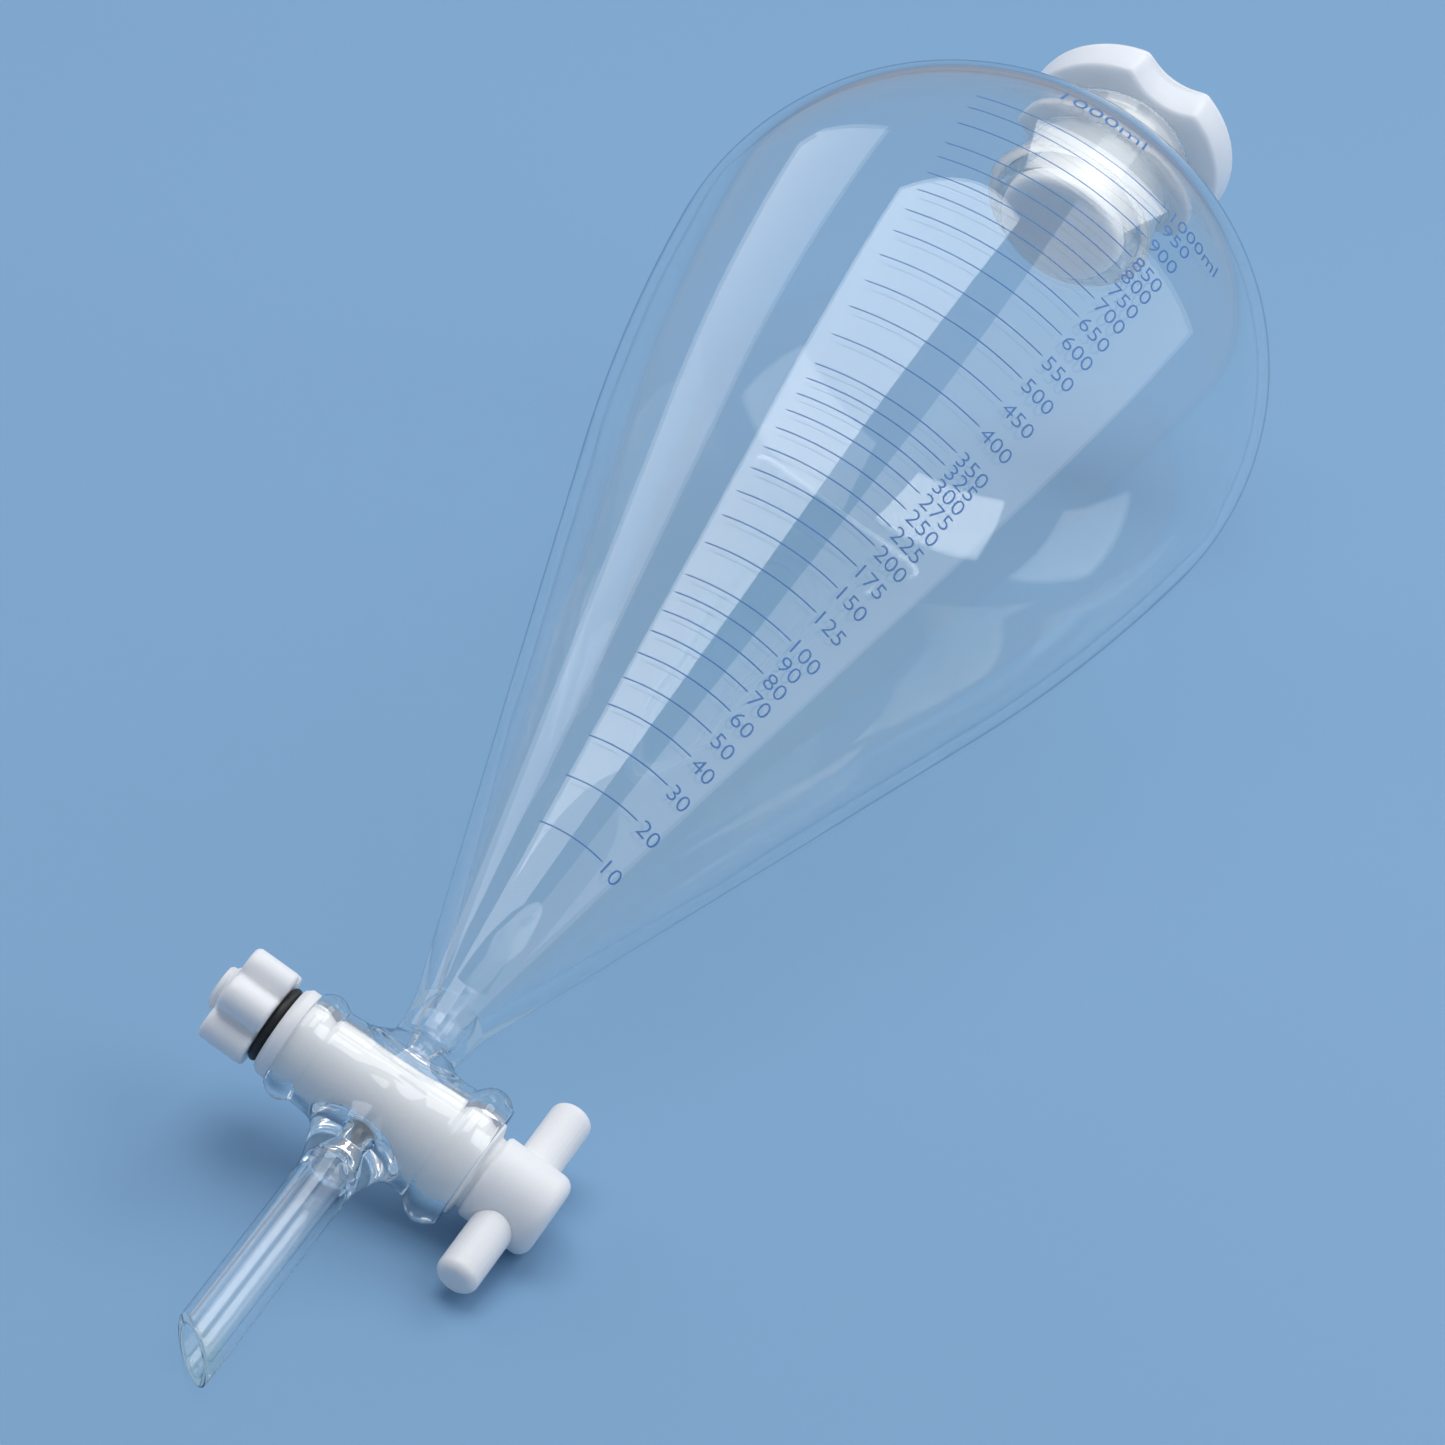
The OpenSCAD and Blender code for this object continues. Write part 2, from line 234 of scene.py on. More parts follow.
def F_in(P):
    x, y, z = P[..., 0], P[..., 1], P[..., 2]
    rx, rz = np.hypot(y, z), np.hypot(x, y)
    bore = (rx - (8.25 + 0.05 * x)) * 0.9988
    r_up = np.interp(z, [0, 12.4, 13.0, 13.8, 15.0, 17.0, 19.0, 24.0, 40.0], [2.0, 2.0, 2.25, 2.7, 3.1, 3.6, 3.95, cone_at(24, wall_at(24)), cone_at(40, wall_at(40))])
    up = np.maximum((rz - r_up) * 0.93, -z)
    r_dn = np.interp(-z, [0, 12.0, 13.2, 15.0, 17.0, 18.6, 40.0], [2.0, 2.0, 2.4, 3.1, 3.5, 3.65, 3.65])
    dn = np.maximum((rz - r_dn) * 0.95, z)
    return smin(np.minimum(up, dn), bore, 0.8)


def F_glass(P):
    return np.maximum(F_out(P), -F_in(P))


def grad(F, P, e=0.02):
    G = np.empty_like(P)
    for k in range(3):
        d = np.zeros(3)
        d[k] = e
        G[..., k] = (F(P + d) - F(P - d)) / (2 * e)
    return G


X0, X1, Z0, Z1 = -13.2, 11.2, -23.0, 26.0


def march(F, lo, hi, h):
    """Triangles of F = 0 inside a box, from six tetrahedra per cell, cut flat at the box."""
    n = np.maximum(1, np.round((hi - lo) / h)).astype(int)
    ax = [np.linspace(lo[k], hi[k], n[k] + 1) for k in range(3)]
    G = np.stack(np.meshgrid(*ax, indexing="ij"), -1)
    val = F(G)
    val = np.where(np.abs(val) < 1e-5, 1e-5, val)
    nx, ny, nz = n + 1
    vid = np.arange(nx * ny * nz).reshape(nx, ny, nz)
    val_f, P_f = val.ravel(), G.reshape(-1, 3)
    corner = lambda i, j, k: vid[i : nx - 1 + i, j : ny - 1 + j, k : nz - 1 + k].ravel()
    c = {(i, j, k): corner(i, j, k) for i in (0, 1) for j in (0, 1) for k in (0, 1)}
    act = np.zeros(len(c[0, 0, 0]), bool)
    s0 = val_f[c[0, 0, 0]] < 0
    for q in c.values():
        act |= (val_f[q] < 0) != s0
    c = {k: v[act] for k, v in c.items()}
    tets = []
    a, b = (0, 0, 0), (1, 1, 1)
    for p in ((0, 1, 2), (0, 2, 1), (1, 0, 2), (1, 2, 0), (2, 0, 1), (2, 1, 0)):
        m1, m2 = [0, 0, 0], [0, 0, 0]
        m1[p[0]] = 1
        m2[p[0]] = m2[p[1]] = 1
        tets.append(np.stack([c[a], c[tuple(m1)], c[tuple(m2)], c[b]], 1))
    T = np.concatenate(tets)
    inside = val_f[T] < 0
    code = inside.sum(1)
    tris = []

    def edge(Tq, i, j):
        u, v = Tq[:, i], Tq[:, j]
        return np.stack([np.minimum(u, v), np.maximum(u, v)], 1)

    for i in range(4):
        o = [k for k in range(4) if k != i]
        for want in (1, 3):
            m = (code == want) & (inside[:, i] == (want == 1))
            Tq = T[m]
            if len(Tq):
                tris.append(np.stack([edge(Tq, i, o[0]), edge(Tq, i, o[1]), edge(Tq, i, o[2])], 1))
    for i in range(4):
        for j in range(i + 1, 4):
            k, l = [q for q in range(4) if q not in (i, j)]
            m = (code == 2) & inside[:, i] & inside[:, j]
            Tq = T[m]
            if len(Tq):
                e1, e2, e3, e4 = edge(Tq, i, k), edge(Tq, i, l), edge(Tq, j, l), edge(Tq, j, k)
                tris.append(np.stack([e1, e2, e3], 1))
                tris.append(np.stack([e1, e3, e4], 1))
    E = np.concatenate(tris).reshape(-1, 2)
    uniq, inv = np.unique(E, axis=0, return_inverse=True)
    va, vb = val_f[uniq[:, 0]], val_f[uniq[:, 1]]
    t = (va / (va - vb))[:, None]
    P = P_f[uniq[:, 0]] * (1 - t) + P_f[uniq[:, 1]] * t
    return P, inv.reshape(-1, 3)


def clean_tris(P, T, tol=1e-4):
    """Merges points closer than tol and drops flat triangles."""
    key = np.round(P / tol).astype(np.int64)
    _, first, inv = np.unique(key, axis=0, return_index=True, return_inverse=True)
    inv = inv.ravel()
    T = inv[T]
    P = P[first]
    ok = (T[:, 0] != T[:, 1]) & (T[:, 1] != T[:, 2]) & (T[:, 0] != T[:, 2])
    return P, T[ok]


def relax(F, P, T, rounds, fixed_axis):
    """Evens out the triangles, keeping points on F = 0 and on the flat cuts."""
    E = np.concatenate([T[:, [0, 1]], T[:, [1, 2]], T[:, [2, 0]]])
    E = np.unique(np.sort(E, 1), axis=0)
    n = len(P)
    deg = np.bincount(E.ravel(), minlength=n)[:, None]
    cut = np.zeros(P.shape, bool)
    for ax, v in fixed_axis:
        cut[:, ax] |= np.abs(P[:, ax] - v) < 1e-6
    rim = cut.any(1)
    # points on a cut only follow their neighbours on the same cut
    er = rim[E[:, 0]] & rim[E[:, 1]]
    degr = np.bincount(E[er].ravel(), minlength=n)[:, None]
    for _ in range(rounds):
        S = np.zeros_like(P)
        for k in range(3):
            S[:, k] = np.bincount(E[:, 0], P[E[:, 1], k], n) + np.bincount(E[:, 1], P[E[:, 0], k], n)
        Sr = np.zeros_like(P)
        Er = E[er]
        for k in range(3):
            Sr[:, k] = np.bincount(Er[:, 0], P[Er[:, 1], k], n) + np.bincount(Er[:, 1], P[Er[:, 0], k], n)
        avg = np.where(rim[:, None], Sr / np.maximum(degr, 1), S / np.maximum(deg, 1))
        G = grad(F, P)
        G /= np.linalg.norm(G, axis=1, keepdims=True) + 1e-9
        d = avg - P
        d -= (d * G).sum(1, keepdims=True) * G
        d[cut] = 0
        P = P + 0.5 * d
        for _ in range(2):
            G = grad(F, P)
            G[cut] = 0
            g2 = (G * G).sum(1, keepdims=True)
            P = P - G * (F(P)[:, None] / np.maximum(g2, 0.25))
    return P


def loops_of(T):
    """Boundary loops of a triangle mesh, as lists of point numbers."""
    E = np.concatenate([T[:, [0, 1]], T[:, [1, 2]], T[:, [2, 0]]])
    S = np.sort(E, 1)
    u, cnt = np.unique(S, axis=0, return_counts=True)
    nxt = {}
    for a, b in u[cnt == 1]:
        nxt.setdefault(int(a), []).append(int(b))
        nxt.setdefault(int(b), []).append(int(a))
    loops, seen = [], set()
    for s in nxt:
        if s in seen:
            continue
        lp, prev, cur = [s], None, s
        seen.add(s)
        while True:
            q = [w for w in nxt[cur] if w != prev and (w not in seen or w == s)]
            if not q or (q[0] == s and len(lp) > 2):
                break
            prev, cur = cur, q[0]
            if cur in seen:
                break
            lp.append(cur)
            seen.add(cur)
        loops.append(lp)
    return loops


def zipper(la, aa, lb, ab):
    """Triangles between two closed rings, each with its points' angles."""
    oa, ob = np.argsort(aa), np.argsort(ab)
    la, aa, lb, ab = np.array(la)[oa], np.array(aa)[oa], np.array(lb)[ob], np.array(ab)[ob]
    i = j = 0
    na, nb = len(la), len(lb)
    F = []
    A = np.concatenate([aa, aa[:1] + 2 * math.pi])
    B = np.concatenate([ab, ab[:1] + 2 * math.pi])
    while i < na or j < nb:
        if j >= nb or (i < na and A[i + 1] + A[i] <= B[j + 1] + B[j] if i < na and j < nb else i < na):
            F.append((la[i % na], la[(i + 1) % na], lb[j % nb]))
            i += 1
        else:
            F.append((la[i % na], lb[(j + 1) % nb], lb[j % nb]))
            j += 1
    return F


H = 0.5
lo = np.array([X0, -13.0, Z0])
hi = np.array([X1, 13.0, Z1])
JP, JT = march(F_glass, lo, hi, H)
JP, JT = clean_tris(JP, JT)
CUTS = [(0, X0), (0, X1), (2, Z0), (2, Z1)]
JP = relax(F_glass, JP, JT, 8, CUTS)
verts = [tuple(p) for p in JP]
faces = [tuple(t) for t in JT]
mat_of = [0] * len(faces)
jloops = loops_of(JT)


def pick(axis, value, outer):
    best = None
    for lp in jloops:
        Q = JP[lp]
        if np.all(np.abs(Q[:, axis] - value) < 1e-3):
            o = [k for k in range(3) if k != axis]
            r = np.hypot(Q[:, o[0]], Q[:, o[1]]).mean()
            if best is None or (r > best[0]) == outer:
                best = (r, lp, np.arctan2(Q[:, o[1]], Q[:, o[0]]))
    return best


def add_ring(pts):
    s = len(verts)
    verts.extend(tuple(p) for p in pts)
    return list(range(s, s + len(pts)))


def bridge(r1, r2, m=0):
    n = len(r1)
    for i in range(n):
        j = (i + 1) % n
        faces.append((r1[i], r1[j], r2[j], r2[i]))
        mat_of.append(m)


def sew(loop, ring, angles):
    for f in zipper(loop[1], loop[2], ring, angles):
        faces.append(f)
        mat_of.append(0)


# bulb and neck: one skin from the outside at the lower cut, over the rim, down the inside
NB = 224
ang = np.linspace(-math.pi, math.pi, NB, endpoint=False)
prof = []
z_steps = [26.8, 28.5, 31, 34.5] + list(np.linspace(39, CN[1], 30))
for z in z_steps:
    prof.append((float(bulb_at(z)), z, 0))
prof += [(r, z, 0) for r, z in arc(C1, 376, -17.2, -8, 14, False)]
fa = math.degrees(math.atan2(FIL_Z - 221, FIL_R - 6.6))
prof += [(r, z, 0) for r, z in arc(C2, 55, -8, fa, 54, False)]
prof += [(r, z, 0) for r, z in arc((FIL_R, FIL_Z), FIL, 180 + fa, 180, 12, False)]
for z in np.linspace(FIL_Z + 2, RIM_Z - 4.2, 4):
    prof.append((NECK_R, float(z), 2))
# rolled, fire-polished rim
for r, z in [(NECK_R + 0.02, RIM_Z - 3.6), (NECK_R + 0.12, RIM_Z - 3.1), (NECK_R + 0.36, RIM_Z - 2.6)]:
    prof.append((r, z, 0))
prof += [(r, z, 0) for r, z in arc((NECK_R - 0.45, RIM_Z - 1.3), 1.3, -25, 90, 9)]
prof += [(16.0, RIM_Z, 0), (15.55, RIM_Z, 0), (15.2, RIM_Z - 0.06, 0), (14.9, RIM_Z - 0.28, 0), (14.68, RIM_Z - 0.7, 0)]
prof.append((sock(RIM_Z - 1.4), RIM_Z - 1.4, 1))
S_IN = 55 - WALL
sock_z = 221 + math.sqrt(S_IN**2 - (sock(273) - 6.6) ** 2)
for z in np.linspace(RIM_Z - 3, sock_z + 1.2, 12):
    prof.append((sock(z), float(z), 1))
ia = math.degrees(math.asin((sock_z - 221) / S_IN))
dome = [(r, z) for r, z in arc(C2, S_IN, ia - 1.2, -8, 54)]
prof.append((sock(sock_z + 0.35), sock_z + 0.35, 1))
prof.append((sock(sock_z) + 0.18, sock_z - 0.1, 0))
prof += [(r, z, 0) for r, z in dome]
prof += [(r, z, 0) for r, z in arc(C1, 376 - WALL, -8, -17.2, 14, False)]
for z in reversed(z_steps[:-1]):
    prof.append((float(cone_at(z, wall_at(z))), z, 0))
prev = None
first_ring = None
for r, z, m in prof:
    # hand-blown glass is never quite even: a very slight, long-wave waviness of the wall
    w = 0.020 * np.sin(2 * ang + z * 0.021) + 0.012 * np.sin(3 * ang - z * 0.034 + 1.0)
    damp = min(1.0, max(0.0, (z - 40) / 60)) * min(1.0, max(0.0, (262 - z) / 20))
    rr = r + w * damp
    ring = add_ring(np.stack([rr * np.cos(ang), rr * np.sin(ang), np.full(NB, z)], 1))
    if prev is not None:
        bridge(prev, ring, 1 if (m == 1 and prev_m == 1) else 0)
    else:
        first_ring = ring
    prev, prev_m = ring, m
sew(pick(2, Z1, True), first_ring, ang)
sew(pick(2, Z1, False), prev, ang)

# outlet stem: outside down to the slanted tip, round the fire-polished edge, back up the inside
NS = 96
angs = np.linspace(-math.pi, math.pi, NS, endpoint=False)
SLOPE, TIPZ, RO, RI = 0.768, -61.5, 5.15, 3.65


def stem_ring(r, t=None, dz=0.0):
    tip = TIPZ - SLOPE * r * np.cos(angs)
    z = Z0 - 0.7 + (tip + dz - (Z0 - 0.7)) * t
    return add_ring(np.stack([r * np.cos(angs), r * np.sin(angs), z], 1))


first = prev = stem_ring(RO, 0.0, 1.0)
for t in (0.06, 0.14, 0.25, 0.4, 0.55, 0.7, 0.82, 0.92, 0.975, 1.0):
    ring = stem_ring(RO, t, 0.55)
    bridge(prev, ring)
    prev = ring
for r, dz in ((5.11, 0.30), (5.0, 0.12), (4.83, 0.02), (4.6, -0.02), (4.2, -0.02), (3.97, 0.02), (3.8, 0.12), (3.69, 0.3), (3.65, 0.55)):
    ring = stem_ring(r, 1.0, dz)
    bridge(prev, ring)
    prev = ring
for t in (0.975, 0.92, 0.82, 0.7, 0.55, 0.4, 0.25, 0.14, 0.06, 0.0):
    ring = stem_ring(RI, t, 0.55)
    bridge(prev, ring)
    prev = ring
sew(pick(2, Z0, True), first, angs)
sew(pick(2, Z0, False), prev, angs)

# barrel ends about X: outside, fire-polished collar, flat ground rim, taper bore
NX = 120
angx = np.linspace(-math.pi, math.pi, NX, endpoint=False)


def bar_ring(x, r):
    return add_ring(np.stack([np.full(NX, x), r * np.cos(angx), r * np.sin(angx)], 1))


def collar(sign, xc, rc, rad, x_rim, x_cut):
    """Profile of one end in (distance from the cut outwards, radius)."""
    surf = lambda x: 10.25 + 0.074 * x
    pts = []
    xs = np.linspace(x_cut + sign * 0.6, x_rim, 60)
    for x in xs:
        base = surf(x)
        d = abs(x - xc)
        bead = rc + math.sqrt(max(rad * rad - d * d, 0.0)) if d < rad else -1
        k = 1.3
        h = max(k - abs(base - bead), 0) / k if bead > 0 else 0
        pts.append((x, max(base, bead) + h * h * k * 0.25))
    # soft corner at the rim
    x, r = pts[-1]
    keep = [p for p in pts if abs(p[0] - x_rim) > 0.45]
    rl = keep[-1][1]
    for a in (20, 45, 70, 90):
        keep.append((x_rim - sign * 0.45 * (1 - math.sin(a * D2R)), rl - 0.45 * (1 - math.cos(a * D2R)) - (rl - r) * math.sin(a * D2R) * 0.4))
    return keep


for sign, xc, rc, rad, x_rim, x_cut in ((-1, -16.3, 7.7, 2.8, -19.0, X0), (1, 15.5, 9.9, 3.6, 19.0, X1)):
    pts = collar(sign, xc, rc, rad, x_rim, x_cut)
    rb = 8.25 + 0.05 * x_rim
    last_r = pts[-1][1]
    pts += [(x_rim, last_r - 0.35), (x_rim, (last_r + rb) / 2), (x_rim, rb + 0.3), (x_rim - sign * 0.08, rb + 0.1), (x_rim - sign * 0.28, rb + 0.0)]
    for x in np.linspace(x_rim - sign * 0.8, x_cut + sign * 0.6, 6):
        pts.append((float(x), 8.25 + 0.05 * float(x)))
    prev = None
    for x, r in pts:
        ring = bar_ring(x, r)
        if prev is None:
            sew(pick(0, x_cut, True), ring, angx)
        else:
            bridge(prev, ring)
        prev = ring
    sew(pick(0, x_cut, False), prev, angx)
print("glass: loops", len(jloops), "verts", len(verts), "faces", len(faces))


# ---------------------------------------------------------------- materials
def material(name):
    m = bpy.data.materials.new(name)
    m.use_nodes = True
    nt = m.node_tree
    nt.nodes.clear()
    out = nt.nodes.new("ShaderNodeOutputMaterial")
    return m, nt, out


def node(nt, kind, **inputs):
    n = nt.nodes.new(kind)
    for k, v in inputs.items():
        n.inputs[k.replace("_", " ")].default_value = v
    return n


def noise(nt, scale, detail=2.0, rough=0.5, coord="Object"):
    tc = nt.nodes.new("ShaderNodeTexCoord")
    n = node(nt, "ShaderNodeTexNoise", Scale=scale, Detail=detail, Roughness=rough)
    nt.links.new(tc.outputs[coord], n.inputs["Vector"])
    return n


def ramp(nt, src, lo_in, hi_in, lo_out, hi_out):
    n = nt.nodes.new("ShaderNodeMapRange")
    n.inputs["From Min"].default_value = lo_in
    n.inputs["From Max"].default_value = hi_in
    n.inputs["To Min"].default_value = lo_out
    n.inputs["To Max"].default_value = hi_out
    nt.links.new(src, n.inputs["Value"])
    return n.outputs["Result"]


def bump(nt, src, strength, dist):
    b = node(nt, "ShaderNodeBump", Strength=strength, Distance=dist)
    nt.links.new(src, b.inputs["Height"])
    return b.outputs["Normal"]


def glass_material(name, rough_lo, rough_hi, tint, shade, frost=0.0):
    m, nt, out = material(name)
    g = node(nt, "ShaderNodeBsdfGlass", Color=tint, IOR=1.473)
    n1 = noise(nt, 26.0, 1.0)
    n2 = noise(nt, 900.0, 3.0)
    nt.links.new(ramp(nt, n2.outputs["Fac"], 0.35, 0.7, rough_lo, rough_hi), g.inputs["Roughness"])
    nt.links.new(bump(nt, n1.outputs["Fac"], 0.12, 0.0006), g.inputs["Normal"])
    # the thin stem shows the yellowish tone of the glass at its edges
    tc = nt.nodes.new("ShaderNodeTexCoord")
    xyz = nt.nodes.new("ShaderNodeSeparateXYZ")
    nt.links.new(tc.outputs["Object"], xyz.inputs[0])
    low = ramp(nt, xyz.outputs["Z"], -0.0605, -0.0575, 1.0, 0.0)
    tn_ = nt.nodes.new("ShaderNodeMix")
    tn_.data_type = "RGBA"
    tn_.inputs["A"].default_value = tint
    tn_.inputs["B"].default_value = (0.99, 0.99, 0.96, 1)
    nt.links.new(low, tn_.inputs["Factor"])
    # painted shade: where the wall is seen edge-on, along its length, the glass colour is mixed towards a dark
    # grey-blue, over a wider band lower down
    le = node(nt, "ShaderNodeLayerWeight", Blend=0.5)
    te = nt.nodes.new("ShaderNodeMix")
    te.data_type = "RGBA"
    te.inputs["B"].default_value = (0.36, 0.48, 0.58, 1)
    edge_shade_f = ramp(nt, le.outputs["Facing"], 0.885, 0.985, 0.0, 1.0)
    nt.links.new(ramp(nt, xyz.outputs["Z"], -0.020, 0.030, 0.66, 0.885), edge_shade_f.node.inputs["From Min"])
    nt.links.new(edge_shade_f, te.inputs["Factor"])
    nt.links.new(tn_.outputs["Result"], te.inputs["A"])
    nt.links.new(te.outputs["Result"], g.inputs["Color"])
    body = g
    if frost:
        # ground surface: part of the light is scattered white
        d = node(nt, "ShaderNodeBsdfDiffuse", Color=(0.88, 0.875, 0.86, 1))
        t0 = node(nt, "ShaderNodeBsdfTranslucent", Color=(0.90, 0.895, 0.88, 1))
        dt = nt.nodes.new("ShaderNodeMixShader")
        dt.inputs[0].default_value = 0.6
        nt.links.new(d.outputs[0], dt.inputs[1])
        nt.links.new(t0.outputs[0], dt.inputs[2])
        body = nt.nodes.new("ShaderNodeMixShader")
        n3 = noise(nt, 140.0, 3.0)
        nt.links.new(ramp(nt, n3.outputs["Fac"], 0.3, 0.7, frost * 0.94, frost * 1.06), body.inputs[0])
        nt.links.new(g.outputs[0], body.inputs[1])
        nt.links.new(dt.outputs[0], body.inputs[2])
    # light passes on as through clear glass, weaker where the wall is seen edge-on
    lw = node(nt, "ShaderNodeLayerWeight", Blend=0.28)
    t = nt.nodes.new("ShaderNodeBsdfTransparent")
    mc = nt.nodes.new("ShaderNodeMix")
    mc.data_type = "RGBA"
    mc.inputs["A"].default_value = (shade, shade * 1.005, shade * 1.0, 1)
    mc.inputs["B"].default_value = (0.55, 0.59, 0.58, 1)
    nt.links.new(ramp(nt, lw.outputs["Facing"], 0.55, 1.0, 0.0, 1.0), mc.inputs["Factor"])
    nt.links.new(mc.outputs["Result"], t.inputs["Color"])
    lp = nt.nodes.new("ShaderNodeLightPath")
    mx = nt.nodes.new("ShaderNodeMixShader")
    mn = nt.nodes.new("ShaderNodeMath")
    mn.operation = "MAXIMUM"
    nt.links.new(lp.outputs["Is Shadow Ray"], mn.inputs[0])
    nt.links.new(lp.outputs["Is Diffuse Ray"], mn.inputs[1])
    nt.links.new(mn.outputs[0], mx.inputs[0])
    nt.links.new(body.outputs[0], mx.inputs[1])
    nt.links.new(t.outputs[0], mx.inputs[2])
    # painted light: past a ray depth of 8.5 the glass glows with a fixed room-average emission colour, standing in for
    # light that has run round inside the wall many times; greyer towards the stem tip
    em = node(nt, "ShaderNodeEmission", Strength=1.0)
    painted_glow_colour = nt.nodes.new("ShaderNodeMix")
    painted_glow_colour.data_type = "RGBA"
    painted_glow_colour.inputs["A"].default_value = (0.28, 0.42, 0.61, 1)
    painted_glow_colour.inputs["B"].default_value = (0.62, 0.66, 0.60, 1)
    nt.links.new(low, painted_glow_colour.inputs["Factor"])
    nt.links.new(painted_glow_colour.outputs["Result"], em.inputs["Color"])
    deep = nt.nodes.new("ShaderNodeMath")
    deep.operation = "GREATER_THAN"
    deep.inputs[1].default_value = 8.5
    nt.links.new(lp.outputs["Ray Depth"], deep.inputs[0])
    my = nt.nodes.new("ShaderNodeMixShader")
    nt.links.new(deep.outputs[0], my.inputs[0])
    nt.links.new(mx.outputs[0], my.inputs[1])
    nt.links.new(em.outputs[0], my.inputs[2])
    nt.links.new(my.outputs[0], out.inputs["Surface"])
    return m


def plastic(name, base, rough, sss, radius, marks, mark_axis="X", speck=0.03, coat=0.0, spec=0.5):
    m, nt, out = material(name)
    p = node(nt, "ShaderNodeBsdfPrincipled", Base_Color=base, Roughness=rough)
    p.inputs["Subsurface Weight"].default_value = sss
    p.inputs["Subsurface Radius"].default_value = (1.0, 0.95, 0.9)
    p.inputs["Subsurface Scale"].default_value = radius
    p.inputs["Specular IOR Level"].default_value = spec
    p.inputs["Coat Weight"].default_value = coat
    big = noise(nt, 60.0, 3.0)
    fine = noise(nt, 1500.0, 4.0, 0.6)
    mc = nt.nodes.new("ShaderNodeMix")
    mc.data_type = "RGBA"
    mc.inputs["A"].default_value = tuple(c * (1 - speck) for c in base[:3]) + (1,)
    mc.inputs["B"].default_value = tuple(min(1.0, c * (1 + speck * 0.6)) for c in base[:3]) + (1,)
    nt.links.new(ramp(nt, big.outputs["Fac"], 0.3, 0.7, 0.0, 1.0), mc.inputs["Factor"])
    nt.links.new(mc.outputs["Result"], p.inputs["Base Color"])
    nt.links.new(ramp(nt, fine.outputs["Fac"], 0.3, 0.7, rough - 0.06, rough + 0.08), p.inputs["Roughness"])
    # fine turning or moulding marks
    tc = nt.nodes.new("ShaderNodeTexCoord")
    w = nt.nodes.new("ShaderNodeTexWave")
    w.bands_direction = mark_axis
    w.inputs["Scale"].default_value = 420.0
    w.inputs["Distortion"].default_value = 1.2
    w.inputs["Detail"].default_value = 2.0
    nt.links.new(tc.outputs["Object"], w.inputs["Vector"])
    add = nt.nodes.new("ShaderNodeMath")
    add.operation = "MULTIPLY_ADD"
    add.inputs[1].default_value = 0.35
    nt.links.new(w.outputs["Fac"], add.inputs[0])
    nt.links.new(fine.outputs["Fac"], add.inputs[2])
    nt.links.new(bump(nt, add.outputs[0], marks, 0.00008), p.inputs["Normal"])
    nt.links.new(p.outputs[0], out.inputs["Surface"])
    return m


M_GLASS = glass_material("clear_glass", 0.0, 0.012, (0.992, 0.996, 0.994, 1), 0.975)
M_GROUND = glass_material("ground_glass", 0.30, 0.33, (0.99, 0.992, 0.99, 1), 0.93, 0.55)
M_NECK = glass_material("neck_glass", 0.13, 0.16, (0.99, 0.994, 0.992, 1), 0.96)
M_PTFE = plastic("white_fluoroplastic", (0.86, 0.862, 0.855, 1), 0.42, 0.18, 0.0012, 0.35)
M_PTFE_NUT = plastic("white_moulded_plastic", (0.87, 0.872, 0.868, 1), 0.36, 0.22, 0.0014, 0.18)
M_PE = plastic("milky_polyethylene", (0.83, 0.855, 0.875, 1), 0.34, 0.75, 0.0055, 0.15, "Z", 0.02)
M_RUBBER = plastic("black_rubber", (0.012, 0.012, 0.013, 1), 0.46, 0.0, 0.001, 0.4, speck=0.25)
M_INK = plastic("blue_enamel", (0.055, 0.185, 0.46, 1), 0.33, 0.0, 0.001, 0.1, speck=0.12)

glass = new_mesh("glass_body", verts, faces, (M_GLASS, M_GROUND, M_NECK), mat_of)
outward(glass)
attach(glass, "glass")
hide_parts("bulb", "neck_socket", "stopcock_barrel", "drip_stem")


# ---------------------------------------------------------------- stopcock key
def cut(ob, cutter):
    md = ob.modifiers.new("cut", "BOOLEAN")
    md.operation = "DIFFERENCE"
    md.solver = "EXACT"
    md.object = cutter
    dg = bpy.context.evaluated_depsgraph_get()
    me = bpy.data.meshes.new_from_object(ob.evaluated_get(dg))
    ob.modifiers.clear()
    ob.data = me
    bpy.data.objects.remove(cutter)


def rod_z(name, x, r, z0, z1, n=64):
    pts = [(z0, 0), (z0, r), (z1, r), (z1, 0)]
    V, F = revolve_x(pts, n)
    V = [(x + b, c, a) for a, b, c in V]
    ob = new_mesh(name, V, F, smooth=False)
    outward(ob)
    return ob


PITCH = 1.5
plug = lambda x: 8.25 + 0.05 * x - 0.05
key_prof = [(-34.8, 0.0), (-34.8, 3.6), (-34.35, 3.98)]
N_TH = 64
kp = [
    (-22.35, 4.2), (-22.2, 5.0), (-18.4, 5.0), (-18.4, plug(-18.4)),
    (19.4, plug(19.4)), (19.95, 7.1), (21.0, 6.9), (21.0, 7.6), (21.5, 8.0), (34.6, 8.0), (34.6, 0.0),
]
kr = [0, 0.15, 0, 0.25, 0.3, 0.3, 0.2, 0.12, 0.25, 2.5, 0]
body = round_poly(kp, kr, 6)
dense = []
for a, b in zip(body[:-1], body[1:]):
    steps = max(1, int(math.hypot(b[0] - a[0], b[1] - a[1]) / 3.0))
    for k in range(steps):
        dense.append((a[0] + (b[0] - a[0]) * k / steps, a[1] + (b[1] - a[1]) * k / steps))
dense.append(body[-1])
